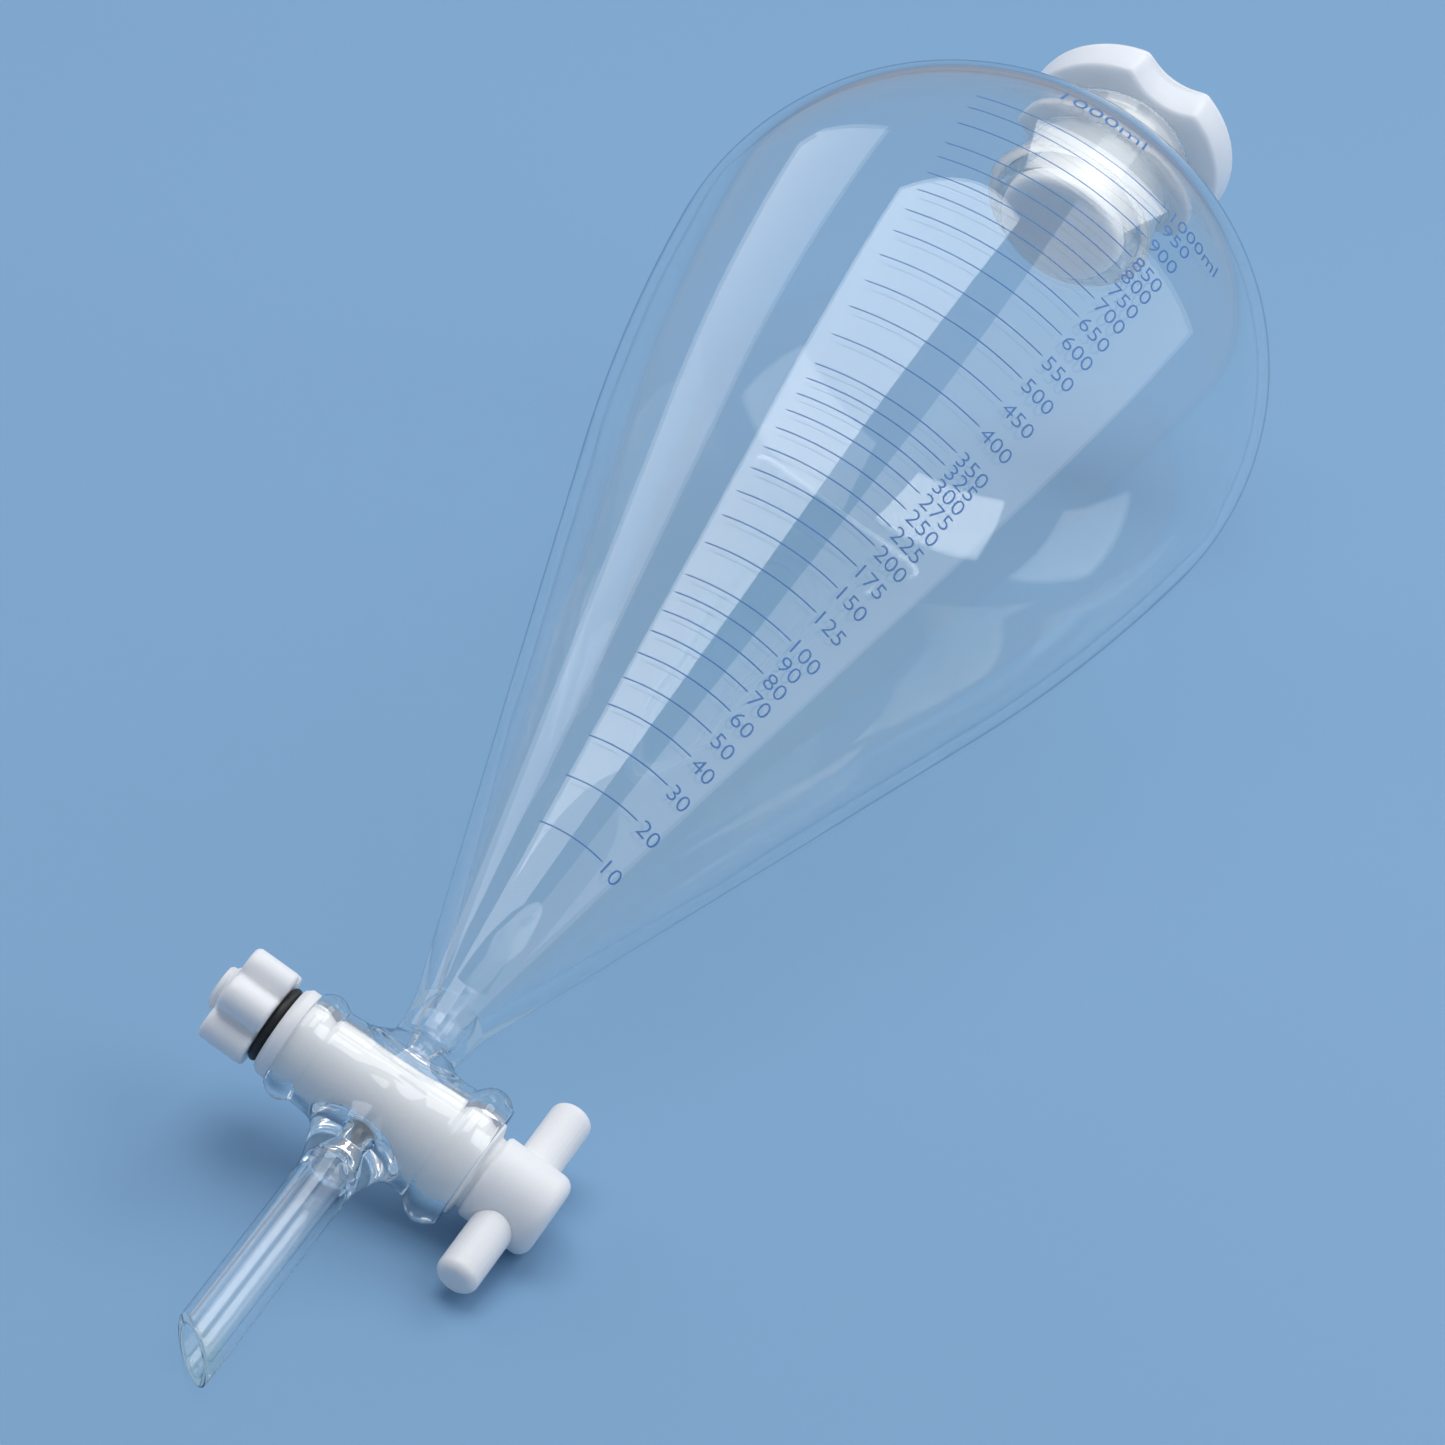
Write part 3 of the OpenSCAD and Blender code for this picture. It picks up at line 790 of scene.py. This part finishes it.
# threaded tail: rounded ridges that climb one pitch a turn
V, F = [], []
rings = []
NT = 96
th = np.linspace(0, 2 * math.pi, NT, endpoint=False)
for x, r in key_prof[:1]:
    V.append((x, 0, 0))
    rings.append([0])
for x, r in key_prof[1:]:
    rings.append(list(range(len(V), len(V) + NT)))
    V += [(x, r * math.cos(t), r * math.sin(t)) for t in th]
for x in np.arange(-34.2, -22.55, 0.125):
    fade = min(1.0, (x + 34.35) / 0.8, (-22.45 - x) / 0.8)
    ph = ((x - PITCH * th / (2 * math.pi)) / PITCH) % 1.0
    tri = np.clip(1.35 * (1 - np.abs(ph - 0.5) * 2) - 0.18, 0, 1)
    rr = 3.98 + 0.62 * tri * max(0.0, fade)
    rings.append(list(range(len(V), len(V) + NT)))
    V += [(x, r * math.cos(t), r * math.sin(t)) for r, t in zip(rr, th)]
for x, r in dense:
    if r < 1e-6:
        rings.append([len(V)])
        V.append((x, 0, 0))
    else:
        rings.append(list(range(len(V), len(V) + NT)))
        V += [(x, r * math.cos(t), r * math.sin(t)) for t in th]
for a, b in zip(rings[:-1], rings[1:]):
    for i in range(NT):
        j = (i + 1) % NT
        if len(a) == 1:
            F.append((a[0], b[i], b[j]))
        elif len(b) == 1:
            F.append((a[i], b[0], a[j]))
        else:
            F.append((a[i], b[i], b[j], a[j]))
key = new_mesh("stopcock_key_turned", V, F, (M_PTFE,))
outward(key)
cut(key, rod_z("c1", 0, 2.0, -20, 20, 48))
cut(key, rod_z("c2", 27.4, 3.93, -21, 21, 72))
key.name = "stopcock_key_turned"
key.data.polygons.foreach_set("use_smooth", np.ones(len(key.data.polygons), bool))
sharp_by_angle(key, 38)
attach(key, "key")
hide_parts("stopcock_key")

# handle rod, domed ends
bp = round_poly([(-21.0, 0.0), (-21.0, 3.9), (21.0, 3.9), (21.0, 0.0)], [0, 2.4, 2.4, 0], 10)
bd = []
for a, b in zip(bp[:-1], bp[1:]):
    steps = max(1, int(math.hypot(b[0] - a[0], b[1] - a[1]) / 2.5))
    for k in range(steps):
        bd.append((a[0] + (b[0] - a[0]) * k / steps, a[1] + (b[1] - a[1]) * k / steps))
bd.append(bp[-1])
# a slight crown on the end faces
bd = [(x + (0.35 * (1 - (r / 2.0) ** 2) * (-1 if x > 0 else 1) * -1 if abs(x) > 20.99 and r < 2.0 else 0.0), r) for x, r in bd]
bd = [(max(-21.0, min(21.0, x)), r) for x, r in bd]
V, F = revolve_x(bd, 72)
bar = new_mesh("handle_rod", [(27.4 + b, c, a) for a, b, c in V], F, (M_PTFE,))
outward(bar)
sharp_by_angle(bar, 50)
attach(bar, "key")
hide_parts("handle_bar")

# thrust washer
V, F = revolve_x([], 3)
wp = [(-21.95, 6.2), (-21.95, 7.8), (-20.85, 8.7), (-19.05, 8.7), (-19.05, 5.05), (-21.95, 5.05), (-21.95, 6.2)]
wr = round_poly(wp, [0, 0.3, 0.35, 0.25, 0.2, 0.2, 0], 4)


def closed_revolve_x(prof, n=96):
    V, F = [], []
    m = len(prof)
    for x, r in prof:
        V += [(x, r * math.cos(2 * math.pi * i / n), r * math.sin(2 * math.pi * i / n)) for i in range(n)]
    for k in range(m):
        k2 = (k + 1) % m
        for i in range(n):
            j = (i + 1) % n
            F.append((k * n + i, k * n + j, k2 * n + j, k2 * n + i))
    return V, F


V, F = closed_revolve_x(wr[:-1], 108)
wash = new_mesh("thrust_washer", V, F, (M_PTFE,))
outward(wash)
sharp_by_angle(wash, 40)
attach(wash, "key")
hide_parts("washer")

# rubber ring, a little uneven with a faint moulding line
n1, n2 = 128, 28
V, F = [], []
oc = -19.05 - 2.9 - 0.04 - 0.93
for i in range(n1):
    a = 2 * math.pi * i / n1
    for k in range(n2):
        b = 2 * math.pi * k / n2
        s = 0.93 * (1 - 0.012 * (1 + math.sin(3 * a + 0.6)) + (0.02 if k in (0, n2 // 2) else 0) * 0.5)
        s = min(s, 0.93)
        r = 6.5 + s * math.cos(b)
        V.append((oc + s * math.sin(b), r * math.cos(a), r * math.sin(a)))
for i in range(n1):
    for k in range(n2):
        i2, k2 = (i + 1) % n1, (k + 1) % n2
        F.append((i * n2 + k, i * n2 + k2, i2 * n2 + k2, i2 * n2 + k))
ring_o = new_mesh("rubber_ring", V, F, (M_RUBBER,))
outward(ring_o)
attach(ring_o, "seal")
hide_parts("o_ring")

# lobed nut: soft lobes, rounded outer end, threaded bore
NN = 240
tn = np.linspace(0, 2 * math.pi, NN, endpoint=False)
nut_in = -19.05 - 2.9 - 0.08 - 1.86


def lobed(inset=0.0):
    best = np.full(NN, 7.3 - inset)
    for k in range(6):
        d = (tn - (33.2 + 60 * k) * D2R + math.pi) % (2 * math.pi) - math.pi
        c, rho = 6.8, 3.4 - inset
        q = rho * rho - (c * np.sin(d)) ** 2
        hit = np.where((q > 0) & (np.cos(d) > 0), c * np.cos(d) + np.sqrt(np.maximum(q, 0)), -9)
        h = np.maximum(0.35 - np.abs(best - hit), 0) / 0.35
        best = np.where(hit > 0, np.maximum(best, hit) + h * h * 0.35 * 0.25, best)
    return np.minimum(best, 10.2 - inset)


NUT_L = 8.9
V, F, rings = [], [], []
inner_face = [(nut_in, 5.3, None), (nut_in, 6.6, None), (nut_in, 7.9, None)]
layers = []
for x, r, _ in inner_face:
    layers.append((x, np.full(NN, r)))
for a in (8, 25, 45, 65, 90):
    layers.append((nut_in - 0.8 * (1 - math.cos(a * D2R)), np.minimum(lobed(0.8 * (1 - math.sin(a * D2R))), 10.2)))
for x in np.linspace(nut_in - 1.4, nut_in - NUT_L + 2.4, 10):
    layers.append((x, lobed(0.0)))
for a in (12, 24, 36, 48, 60, 72, 84, 90):
    s = 1.15
    layers.append((nut_in - NUT_L + s * (1 - math.sin(a * D2R)), lobed(s * (1 - math.cos(a * D2R)))))
edge = lobed(1.15)
for f in (0.8, 0.5, 0.2):
    layers.append((nut_in - NUT_L, 5.4 + (edge - 5.4) * f))
layers.append((nut_in - NUT_L, np.full(NN, 5.35)))
layers.append((nut_in - NUT_L + 0.55, np.full(NN, 4.72)))
for x in np.arange(nut_in - NUT_L + 0.7, nut_in - 0.6, 0.125):
    ph = ((x - PITCH * tn / (2 * math.pi)) / PITCH) % 1.0
    tri = np.clip(1.35 * (1 - np.abs(ph - 0.5) * 2) - 0.18, 0, 1)
    layers.append((x, 4.12 + 0.60 * tri))
layers.append((nut_in - 0.5, np.full(NN, 4.72)))
for x, rr in layers:
    V += [(x, r * math.cos(t), r * math.sin(t)) for r, t in zip(rr, tn)]
m = len(layers)
for k in range(m):
    k2 = (k + 1) % m
    for i in range(NN):
        j = (i + 1) % NN
        F.append((k * NN + i, k * NN + j, k2 * NN + j, k2 * NN + i))
nut = new_mesh("tension_nut_moulded", V, F, (M_PTFE_NUT,))
outward(nut)
sharp_by_angle(nut, 50)
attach(nut, "nut")
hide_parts("tension_nut")

# hollow stopper with the notched head
NP = 240
tp = np.linspace(0, 2 * math.pi, NP, endpoint=False)
UNDER, HEAD_H, P0 = RIM_Z + 0.6, 8.0, RIM_Z - 27.5


def head(inset, v):
    """Head outline radius, inset from the full size; v runs 0 at the underside to 1 at the top."""
    R = 22.4 + 0.4 * v - inset
    val = 18.2 + 1.3 * v - inset
    rho = 12.0 + inset
    out = np.full(NP, R)
    for k in range(3):
        d = (tp - (274 + 120 * k) * D2R + math.pi) % (2 * math.pi) - math.pi
        c = val + rho
        q = rho * rho - (c * np.sin(d)) ** 2
        hit = np.where((q > 0) & (np.cos(d) > 0), c * np.cos(d) - np.sqrt(np.maximum(q, 0)), 99)
        kk = 1.4
        h = np.maximum(kk - np.abs(out - hit), 0) / kk
        out = np.minimum(out, hit) - h * h * kk * 0.25
    return out


pj = lambda z: sock(z) - 0.05
L = [(P0, np.zeros(NP)), (P0, np.full(NP, 5.0)), (P0, np.full(NP, 9.5))]
for a in (0, 15, 30, 45, 60, 75, 90):
    e = 1.8
    L.append((P0 + e * (1 - math.cos(a * D2R)), np.full(NP, pj(P0 + e) - e * (1 - math.sin(a * D2R)))))
for z in np.linspace(P0 + 4, UNDER - 1.2, 8):
    L.append((z, np.full(NP, pj(z))))
for a in (0, 30, 60, 90):
    L.append((UNDER - 0.6 * (1 - math.sin(a * D2R)), np.full(NP, min(pj(UNDER), pj(UNDER) + 0.6 * (1 - math.cos(a * D2R)) * 0 )) + 0.6 * (1 - math.cos(a * D2R))))
base_r = pj(UNDER) + 0.6
for f in (0.3, 0.65, 0.92):
    L.append((UNDER, base_r + (head(0.9, 0) - base_r) * f))
for a in (0, 25, 50, 70, 90):
    L.append((UNDER + 0.9 * (1 - math.cos(a * D2R)), head(0.9 * (1 - math.sin(a * D2R)), 0.0)))
for v in (0.25, 0.4, 0.55, 0.7, 0.82):
    L.append((UNDER + HEAD_H * v, head(0.0, v)))
for a in (0, 20, 40, 60, 80, 90):
    e = 1.3
    L.append((UNDER + HEAD_H - e * (1 - math.sin(a * D2R)), head(e * (1 - math.cos(a * D2R)), 1.0)))
in_top = 13.6
for f in (0.75, 0.45, 0.2):
    L.append((UNDER + HEAD_H, in_top + (head(1.3, 1.0) - in_top) * f))
for a in (0, 30, 60, 90):
    L.append((UNDER + HEAD_H - 1.0 * (1 - math.cos(a * D2R)), np.full(NP, in_top - 1.0 * math.sin(a * D2R))))
for z in np.linspace(UNDER + HEAD_H - 4, P0 + 5.5, 8):
    L.append((z, np.full(NP, 12.55 - (UNDER + HEAD_H - 4 - z) * 0.045)))
ri = 12.55 - (UNDER + HEAD_H - 4 - P0 - 5.5) * 0.045
for a in (20, 40, 60, 75, 90):
    L.append((P0 + 5.5 - 3.2 * math.sin(a * D2R), np.full(NP, ri - 3.2 * (1 - math.cos(a * D2R)))))
L.append((P0 + 2.3, np.full(NP, 4.0)))
L.append((P0 + 2.3, np.zeros(NP)))
V, F, rings = [], [], []
for z, rr in L:
    if rr.max() < 1e-6:
        rings.append([len(V)])
        V.append((0, 0, z))
    else:
        rings.append(list(range(len(V), len(V) + NP)))
        V += [(r * math.cos(t), r * math.sin(t), z) for r, t in zip(rr, tp)]
for a, b in zip(rings[:-1], rings[1:]):
    for i in range(NP):
        j = (i + 1) % NP
        if len(a) == 1:
            F.append((a[0], b[i], b[j]))
        elif len(b) == 1:
            F.append((a[i], b[0], a[j]))
        else:
            F.append((a[i], b[i], b[j], a[j]))
stop = new_mesh("stopper_moulded", V, F, (M_PE,))
outward(stop)
sharp_by_angle(stop, 60)
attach(stop, "stopper")
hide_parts("stopper")

# ---------------------------------------------------------------- printed scale
vol, zz = 0.2, 13.0
tbl = [(0.2, 13.0)]
while zz < 240:
    zc = zz + 0.05
    r = float(np.interp(zc, [12.6, 13.2, 14.4, 16.4, 24], [2, 2.4, 2.95, 3.4, cone_at(24, wall_at(24))])) if zc < 24 else float(cone_at(zc, wall_at(zc)) if zc < FADE_Z else bulb_at(zc, WALL))
    vol += math.pi * r * r * 0.1 / 1000
    zz += 0.1
    tbl.append((vol, zz))
tv, tz = np.array(tbl).T
# the stencil of the print sits up to 2 mm off the exact volumes
OFF = np.array([[10, 1.3], [20, -0.8], [50, -0.2], [60, 0.3], [100, 2.1], [125, 1.6], [175, 0.5], [250, -0.3], [350, -1.7], [400, -1.8], [500, -1.2], [600, 0.1], [700, 0.6], [800, 0.0], [850, -0.8], [900, 0.6], [950, 1.5], [1000, 1.4]])
z_of = lambda ml: float(np.interp(ml, tv, tz) + np.interp(ml, OFF[:, 0], OFF[:, 1]))
MARKS = list(range(10, 101, 10)) + list(range(125, 351, 25)) + list(range(400, 1001, 50))


def on_skin(z, phi, lift):
    """Point on the outside of the bulb, lifted along its normal."""
    r = bulb_at(z)
    s = (bulb_at(z + 0.2) - bulb_at(z - 0.2)) / 0.4
    c = 1 / np.sqrt(1 + s * s)
    rr, zz_ = r + lift * c, z - lift * s * c
    return np.stack([rr * np.cos(phi), rr * np.sin(phi), zz_], -1)


PV, PF = [], []


def band(z, a0, a1, width, lift0, lift1):
    s = float((bulb_at(z + 0.3) - bulb_at(z - 0.3)) / 0.6)
    h = width / 2 / math.sqrt(1 + s * s)
    n = max(8, int(abs(a1 - a0) / 0.9))
    ph = np.linspace(a0, a1, n + 1) * D2R
    base = len(PV)
    for i, p in enumerate(ph):
        # pen-like start and end, and a slightly uneven edge
        e = min(1.0, 0.55 + 0.45 * min(i, n - i) / 1.0)
        u = 1 + 0.05 * math.sin(i * 1.7 + z)
        for dz, li in ((-h * e * u, lift0), (-h * e * u * 0.7, lift1), (h * e * u * 0.7, lift1), (h * e * u, lift0)):
            PV.append(tuple(on_skin(np.float64(z + dz), np.float64(p), li)))
    for i in range(n):
        for k in range(4):
            a = base + i * 4 + k
            b = base + i * 4 + (k + 1) % 4
            PF.append((a, b, b + 4, a + 4))
    PF.append(tuple(base + k for k in (3, 2, 1, 0)))
    PF.append(tuple(base + n * 4 + k for k in (0, 1, 2, 3)))


def text_mesh(body, size, thick, squeeze):
    cu = bpy.data.curves.new("t", "FONT")
    cu.body = body
    cu.size = size
    cu.extrude = thick / 2
    cu.offset = -0.011 * size
    cu.resolution_u = 3
    ob = bpy.data.objects.new("t", cu)
    sc.collection.objects.link(ob)
    dg = bpy.context.evaluated_depsgraph_get()
    me = bpy.data.meshes.new_from_object(ob.evaluated_get(dg))
    bm = bmesh.new()
    bm.from_mesh(me)
    bmesh.ops.remove_doubles(bm, verts=bm.verts, dist=1e-5)
    for v in bm.verts:
        v.co.x *= squeeze
    x0 = min(v.co.x for v in bm.verts)
    x1 = max(v.co.x for v in bm.verts)
    for x in np.arange(x0 + 0.35, x1, 0.5):
        bmesh.ops.bisect_plane(bm, geom=bm.verts[:] + bm.edges[:] + bm.faces[:], plane_co=(float(x), 0, 0), plane_no=(1, 0, 0))
    bm.verts.index_update()
    V = np.array([v.co[:] for v in bm.verts])
    F = [tuple(v.index for v in f.verts) for f in bm.faces]
    bm.free()
    bpy.data.objects.remove(ob)
    return V, F


def letter(body, z, phi, size, squeeze, centre=False, lift=0.035, thick=0.05):
    V, F = text_mesh(body, size, thick, squeeze)
    y0 = V[:, 1].min() + (V[:, 1].max() - V[:, 1].min()) / 2
    u = V[:, 0] - ((V[:, 0].min() + V[:, 0].max()) / 2 if centre else V[:, 0].min())
    r = float(bulb_at(z))
    s = float((bulb_at(z + 0.3) - bulb_at(z - 0.3)) / 0.6)
    zc = z + (V[:, 1] - y0) / math.sqrt(1 + s * s)
    P = on_skin(zc, phi * D2R + u / r, lift + V[:, 2])
    base = len(PV)
    PV.extend(tuple(p) for p in P)
    PF.extend(tuple(base + i for i in f) for f in F)


START = np.array([[10, -115.0, -71.4], [40, -114.0, -73.3], [100, -112.5, -73.9], [200, -111.4, -74.1], [325, -110.7, -74.1], [500, -110.7, -73.9], [650, -111.5, -73.4], [800, -111.9, -73.1], [900, -112.5, -72.8], [1000, -113.3, -72.2]])
for ml in MARKS:
    z = z_of(ml)
    a0, a1 = float(np.interp(ml, START[:, 0], START[:, 1])), float(np.interp(ml, START[:, 0], START[:, 2]))
    band(z, a0, a1, 0.27, 0.004, 0.05)
    r = float(bulb_at(z))
    size = 4.6
    letter("1000ml" if ml == 1000 else str(ml), z - 0.1, a1 + 0.9 / r / D2R, size, 1.12)
letter("1000ml", 241.5, -91.8, 6.6, 1.04, centre=True)
prt = new_mesh("printed_scale", PV, PF, (M_INK,), smooth=False)
outward(prt)
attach(prt, "glass")
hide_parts("graduation_scale")

# ---------------------------------------------------------------- stage
# the funnel lies on its far side: the floor touches the bulb, the stem tip and the key head
FD = Vector((0.30967, 0.92941, -0.20076)).normalized()
FH = 17.75 * MM
ex = FD.orthogonal().normalized()
ey = FD.cross(ex)
bm = bmesh.new()
R_OUT = 2.4
centre = bm.verts.new(FD * FH)
rings_f = []
for k, rad in enumerate((0.15, 0.35, 0.7, 1.2, 1.8, R_OUT)):
    rings_f.append([bm.verts.new(FD * FH + (ex * math.cos(t) + ey * math.sin(t)) * rad) for t in np.linspace(0, 2 * math.pi, 72, endpoint=False)])
for i in range(72):
    bm.faces.new((centre, rings_f[0][i], rings_f[0][(i + 1) % 72]))
    for a, b in zip(rings_f[:-1], rings_f[1:]):
        bm.faces.new((a[i], b[i], b[(i + 1) % 72], a[(i + 1) % 72]))
me = bpy.data.meshes.new("floor")
bm.normal_update()
bm.to_mesh(me)
bm.free()
floor = bpy.data.objects.new("floor", me)
sc.collection.objects.link(floor)
if me.polygons[0].normal.dot(-FD) < 0:
    me.flip_normals()

FLOOR_C = (0.207, 0.372, 0.563, 1)
WORLD_C = (0.64, 0.70, 0.85, 1)
m, nt, out = material("pale_floor")
p = node(nt, "ShaderNodeBsdfPrincipled", Base_Color=FLOOR_C, Roughness=0.62)
p.inputs["Specular IOR Level"].default_value = 0.25
fn = noise(nt, 3.0, 2.0)
mc = nt.nodes.new("ShaderNodeMix")
mc.data_type = "RGBA"
mc.inputs["A"].default_value = tuple(c * 0.97 for c in FLOOR_C[:3]) + (1,)
mc.inputs["B"].default_value = tuple(c * 1.03 for c in FLOOR_C[:3]) + (1,)
nt.links.new(fn.outputs["Fac"], mc.inputs["Factor"])
nt.links.new(mc.outputs["Result"], p.inputs["Base Color"])
geo = nt.nodes.new("ShaderNodeNewGeometry")
tr = nt.nodes.new("ShaderNodeBsdfTransparent")
mx = nt.nodes.new("ShaderNodeMixShader")
ln = nt.nodes.new("ShaderNodeVectorMath")
ln.operation = "LENGTH"
tc = nt.nodes.new("ShaderNodeTexCoord")
nt.links.new(tc.outputs["Object"], ln.inputs[0])
fade = ramp(nt, ln.outputs["Value"], 1.1, 2.3, 0.0, 1.0)
mm = nt.nodes.new("ShaderNodeMath")
mm.operation = "MAXIMUM"
nt.links.new(geo.outputs["Backfacing"], mm.inputs[0])
nt.links.new(fade, mm.inputs[1])
nt.links.new(mm.outputs[0], mx.inputs[0])
nt.links.new(p.outputs[0], mx.inputs[1])
nt.links.new(tr.outputs[0], mx.inputs[2])
nt.links.new(mx.outputs[0], out.inputs["Surface"])
floor.data.materials.append(m)

world = bpy.data.worlds.new("studio")
sc.world = world
world.use_nodes = True
wn = world.node_tree
wn.nodes.clear()
wo = wn.nodes.new("ShaderNodeOutputWorld")
bg = wn.nodes.new("ShaderNodeBackground")
bg.inputs["Color"].default_value = WORLD_C
bg.inputs["Strength"].default_value = 0.48
wn.links.new(bg.outputs[0], wo.inputs[0])


M_CARD, nt, out = material("room_card")
em = node(nt, "ShaderNodeEmission", Color=WORLD_C, Strength=0.48)
lp = nt.nodes.new("ShaderNodeLightPath")
gd = nt.nodes.new("ShaderNodeMath")
gd.operation = "GREATER_THAN"
gd.inputs[1].default_value = 0.5
nt.links.new(lp.outputs["Glossy Depth"], gd.inputs[0])
tr = nt.nodes.new("ShaderNodeBsdfTransparent")
mx = nt.nodes.new("ShaderNodeMixShader")
nt.links.new(gd.outputs[0], mx.inputs[0])
nt.links.new(em.outputs[0], mx.inputs[1])
nt.links.new(tr.outputs[0], mx.inputs[2])
nt.links.new(mx.outputs[0], out.inputs["Surface"])
M_CARD.cycles.emission_sampling = "NONE"


def softbox(name, az, el, w, h, dist, radiance, target=(0, -0.03, 0.15)):
    """Area light; az from -Y towards +X, el above the horizontal, radiance in scene units."""
    a, e = az * D2R, el * D2R
    d = Vector((math.sin(a) * math.cos(e), -math.cos(a) * math.cos(e), math.sin(e)))
    li = bpy.data.lights.new(name, "AREA")
    li.shape = "RECTANGLE"
    li.size, li.size_y = w, h
    li.energy = radiance * math.pi * w * h
    ob = bpy.data.objects.new(name, li)
    sc.collection.objects.link(ob)
    ob.location = Vector(target) + d * dist
    ob.rotation_mode = "QUATERNION"
    ob.rotation_quaternion = (-d).to_track_quat("-Z", "Y")
    ob.visible_camera = False
    # seen straight through the glass the lamp gives way to the room behind it; its reflections stay
    bm = bmesh.new()
    q = [bm.verts.new((sx * w * 0.52, sy * h * 0.52, -0.01)) for sx, sy in ((-1, -1), (1, -1), (1, 1), (-1, 1))]
    bm.faces.new(q)
    me = bpy.data.meshes.new(name + "_card")
    bm.to_mesh(me)
    bm.free()
    card = bpy.data.objects.new(name + "_card", me)
    sc.collection.objects.link(card)
    card.location = ob.location
    card.rotation_mode = "QUATERNION"
    card.rotation_quaternion = ob.rotation_quaternion
    card.visible_camera = card.visible_diffuse = card.visible_glossy = False
    card.visible_shadow = card.visible_volume_scatter = False
    me.materials.append(M_CARD)
    return ob


softbox("window_left", -28.5, 14, 0.80, 0.72, 1.2, 3.4)
softbox("window_right", 33, 18, 1.15, 0.95, 1.2, 1.25)
softbox("side_left", -82, 20, 0.55, 0.75, 1.2, 1.3)
softbox("key_light", 2, 54, 0.85, 0.72, 1.5, 2.5, target=(0, 0, 0.1))

# ---------------------------------------------------------------- camera
RC = np.array([[0.80241, -0.22027, 0.55464], [0.57186, 0.54957, -0.60906], [-0.17065, 0.80588, 0.56695]])
cam = bpy.data.cameras.new("camera")
cam_ob = bpy.data.objects.new("camera", cam)
sc.collection.objects.link(cam_ob)
u, _, vt = np.linalg.svd(RC)
RC = u @ vt
rot = Matrix([[RC[0][i], -RC[1][i], -RC[2][i]] for i in range(3)])
cam_ob.rotation_mode = "QUATERNION"
cam_ob.rotation_quaternion = rot.to_quaternion()
CAM_LOC = Vector((0.0434032, -0.6580498, -0.430578))
cam_ob.location = CAM_LOC
cam.sensor_width = 36.0
cam.lens = 4556.234 / 1445 * 36
cam.clip_start, cam.clip_end = 0.01, 20
sc.camera = cam_ob
# the lens shift belongs to this one standpoint; round the object the lens is centred
for prop, value in (("shift_x", (722.5 - 39.7475) / 1445), ("shift_y", (667.981 - 722.5) / 1445)):
    setattr(cam, prop, value)
    fc = cam.driver_add(prop)
    fc.driver.type = "SCRIPTED"
    v = fc.driver.variables.new()
    v.name = "h"
    v.type = "TRANSFORMS"
    v.targets[0].id = cam_ob
    v.targets[0].transform_type = "LOC_X"
    v.targets[0].transform_space = "WORLD_SPACE"
    fc.driver.expression = f"{value:.6f} if abs(h - {CAM_LOC.x:.6f}) < 0.0005 else 0.0"

sc.cycles.max_bounces = 12
sc.cycles.glossy_bounces = 12
sc.cycles.transmission_bounces = 12
sc.cycles.transparent_max_bounces = 16
sc.view_settings.view_transform = "Standard"
sc.view_settings.look = "None"
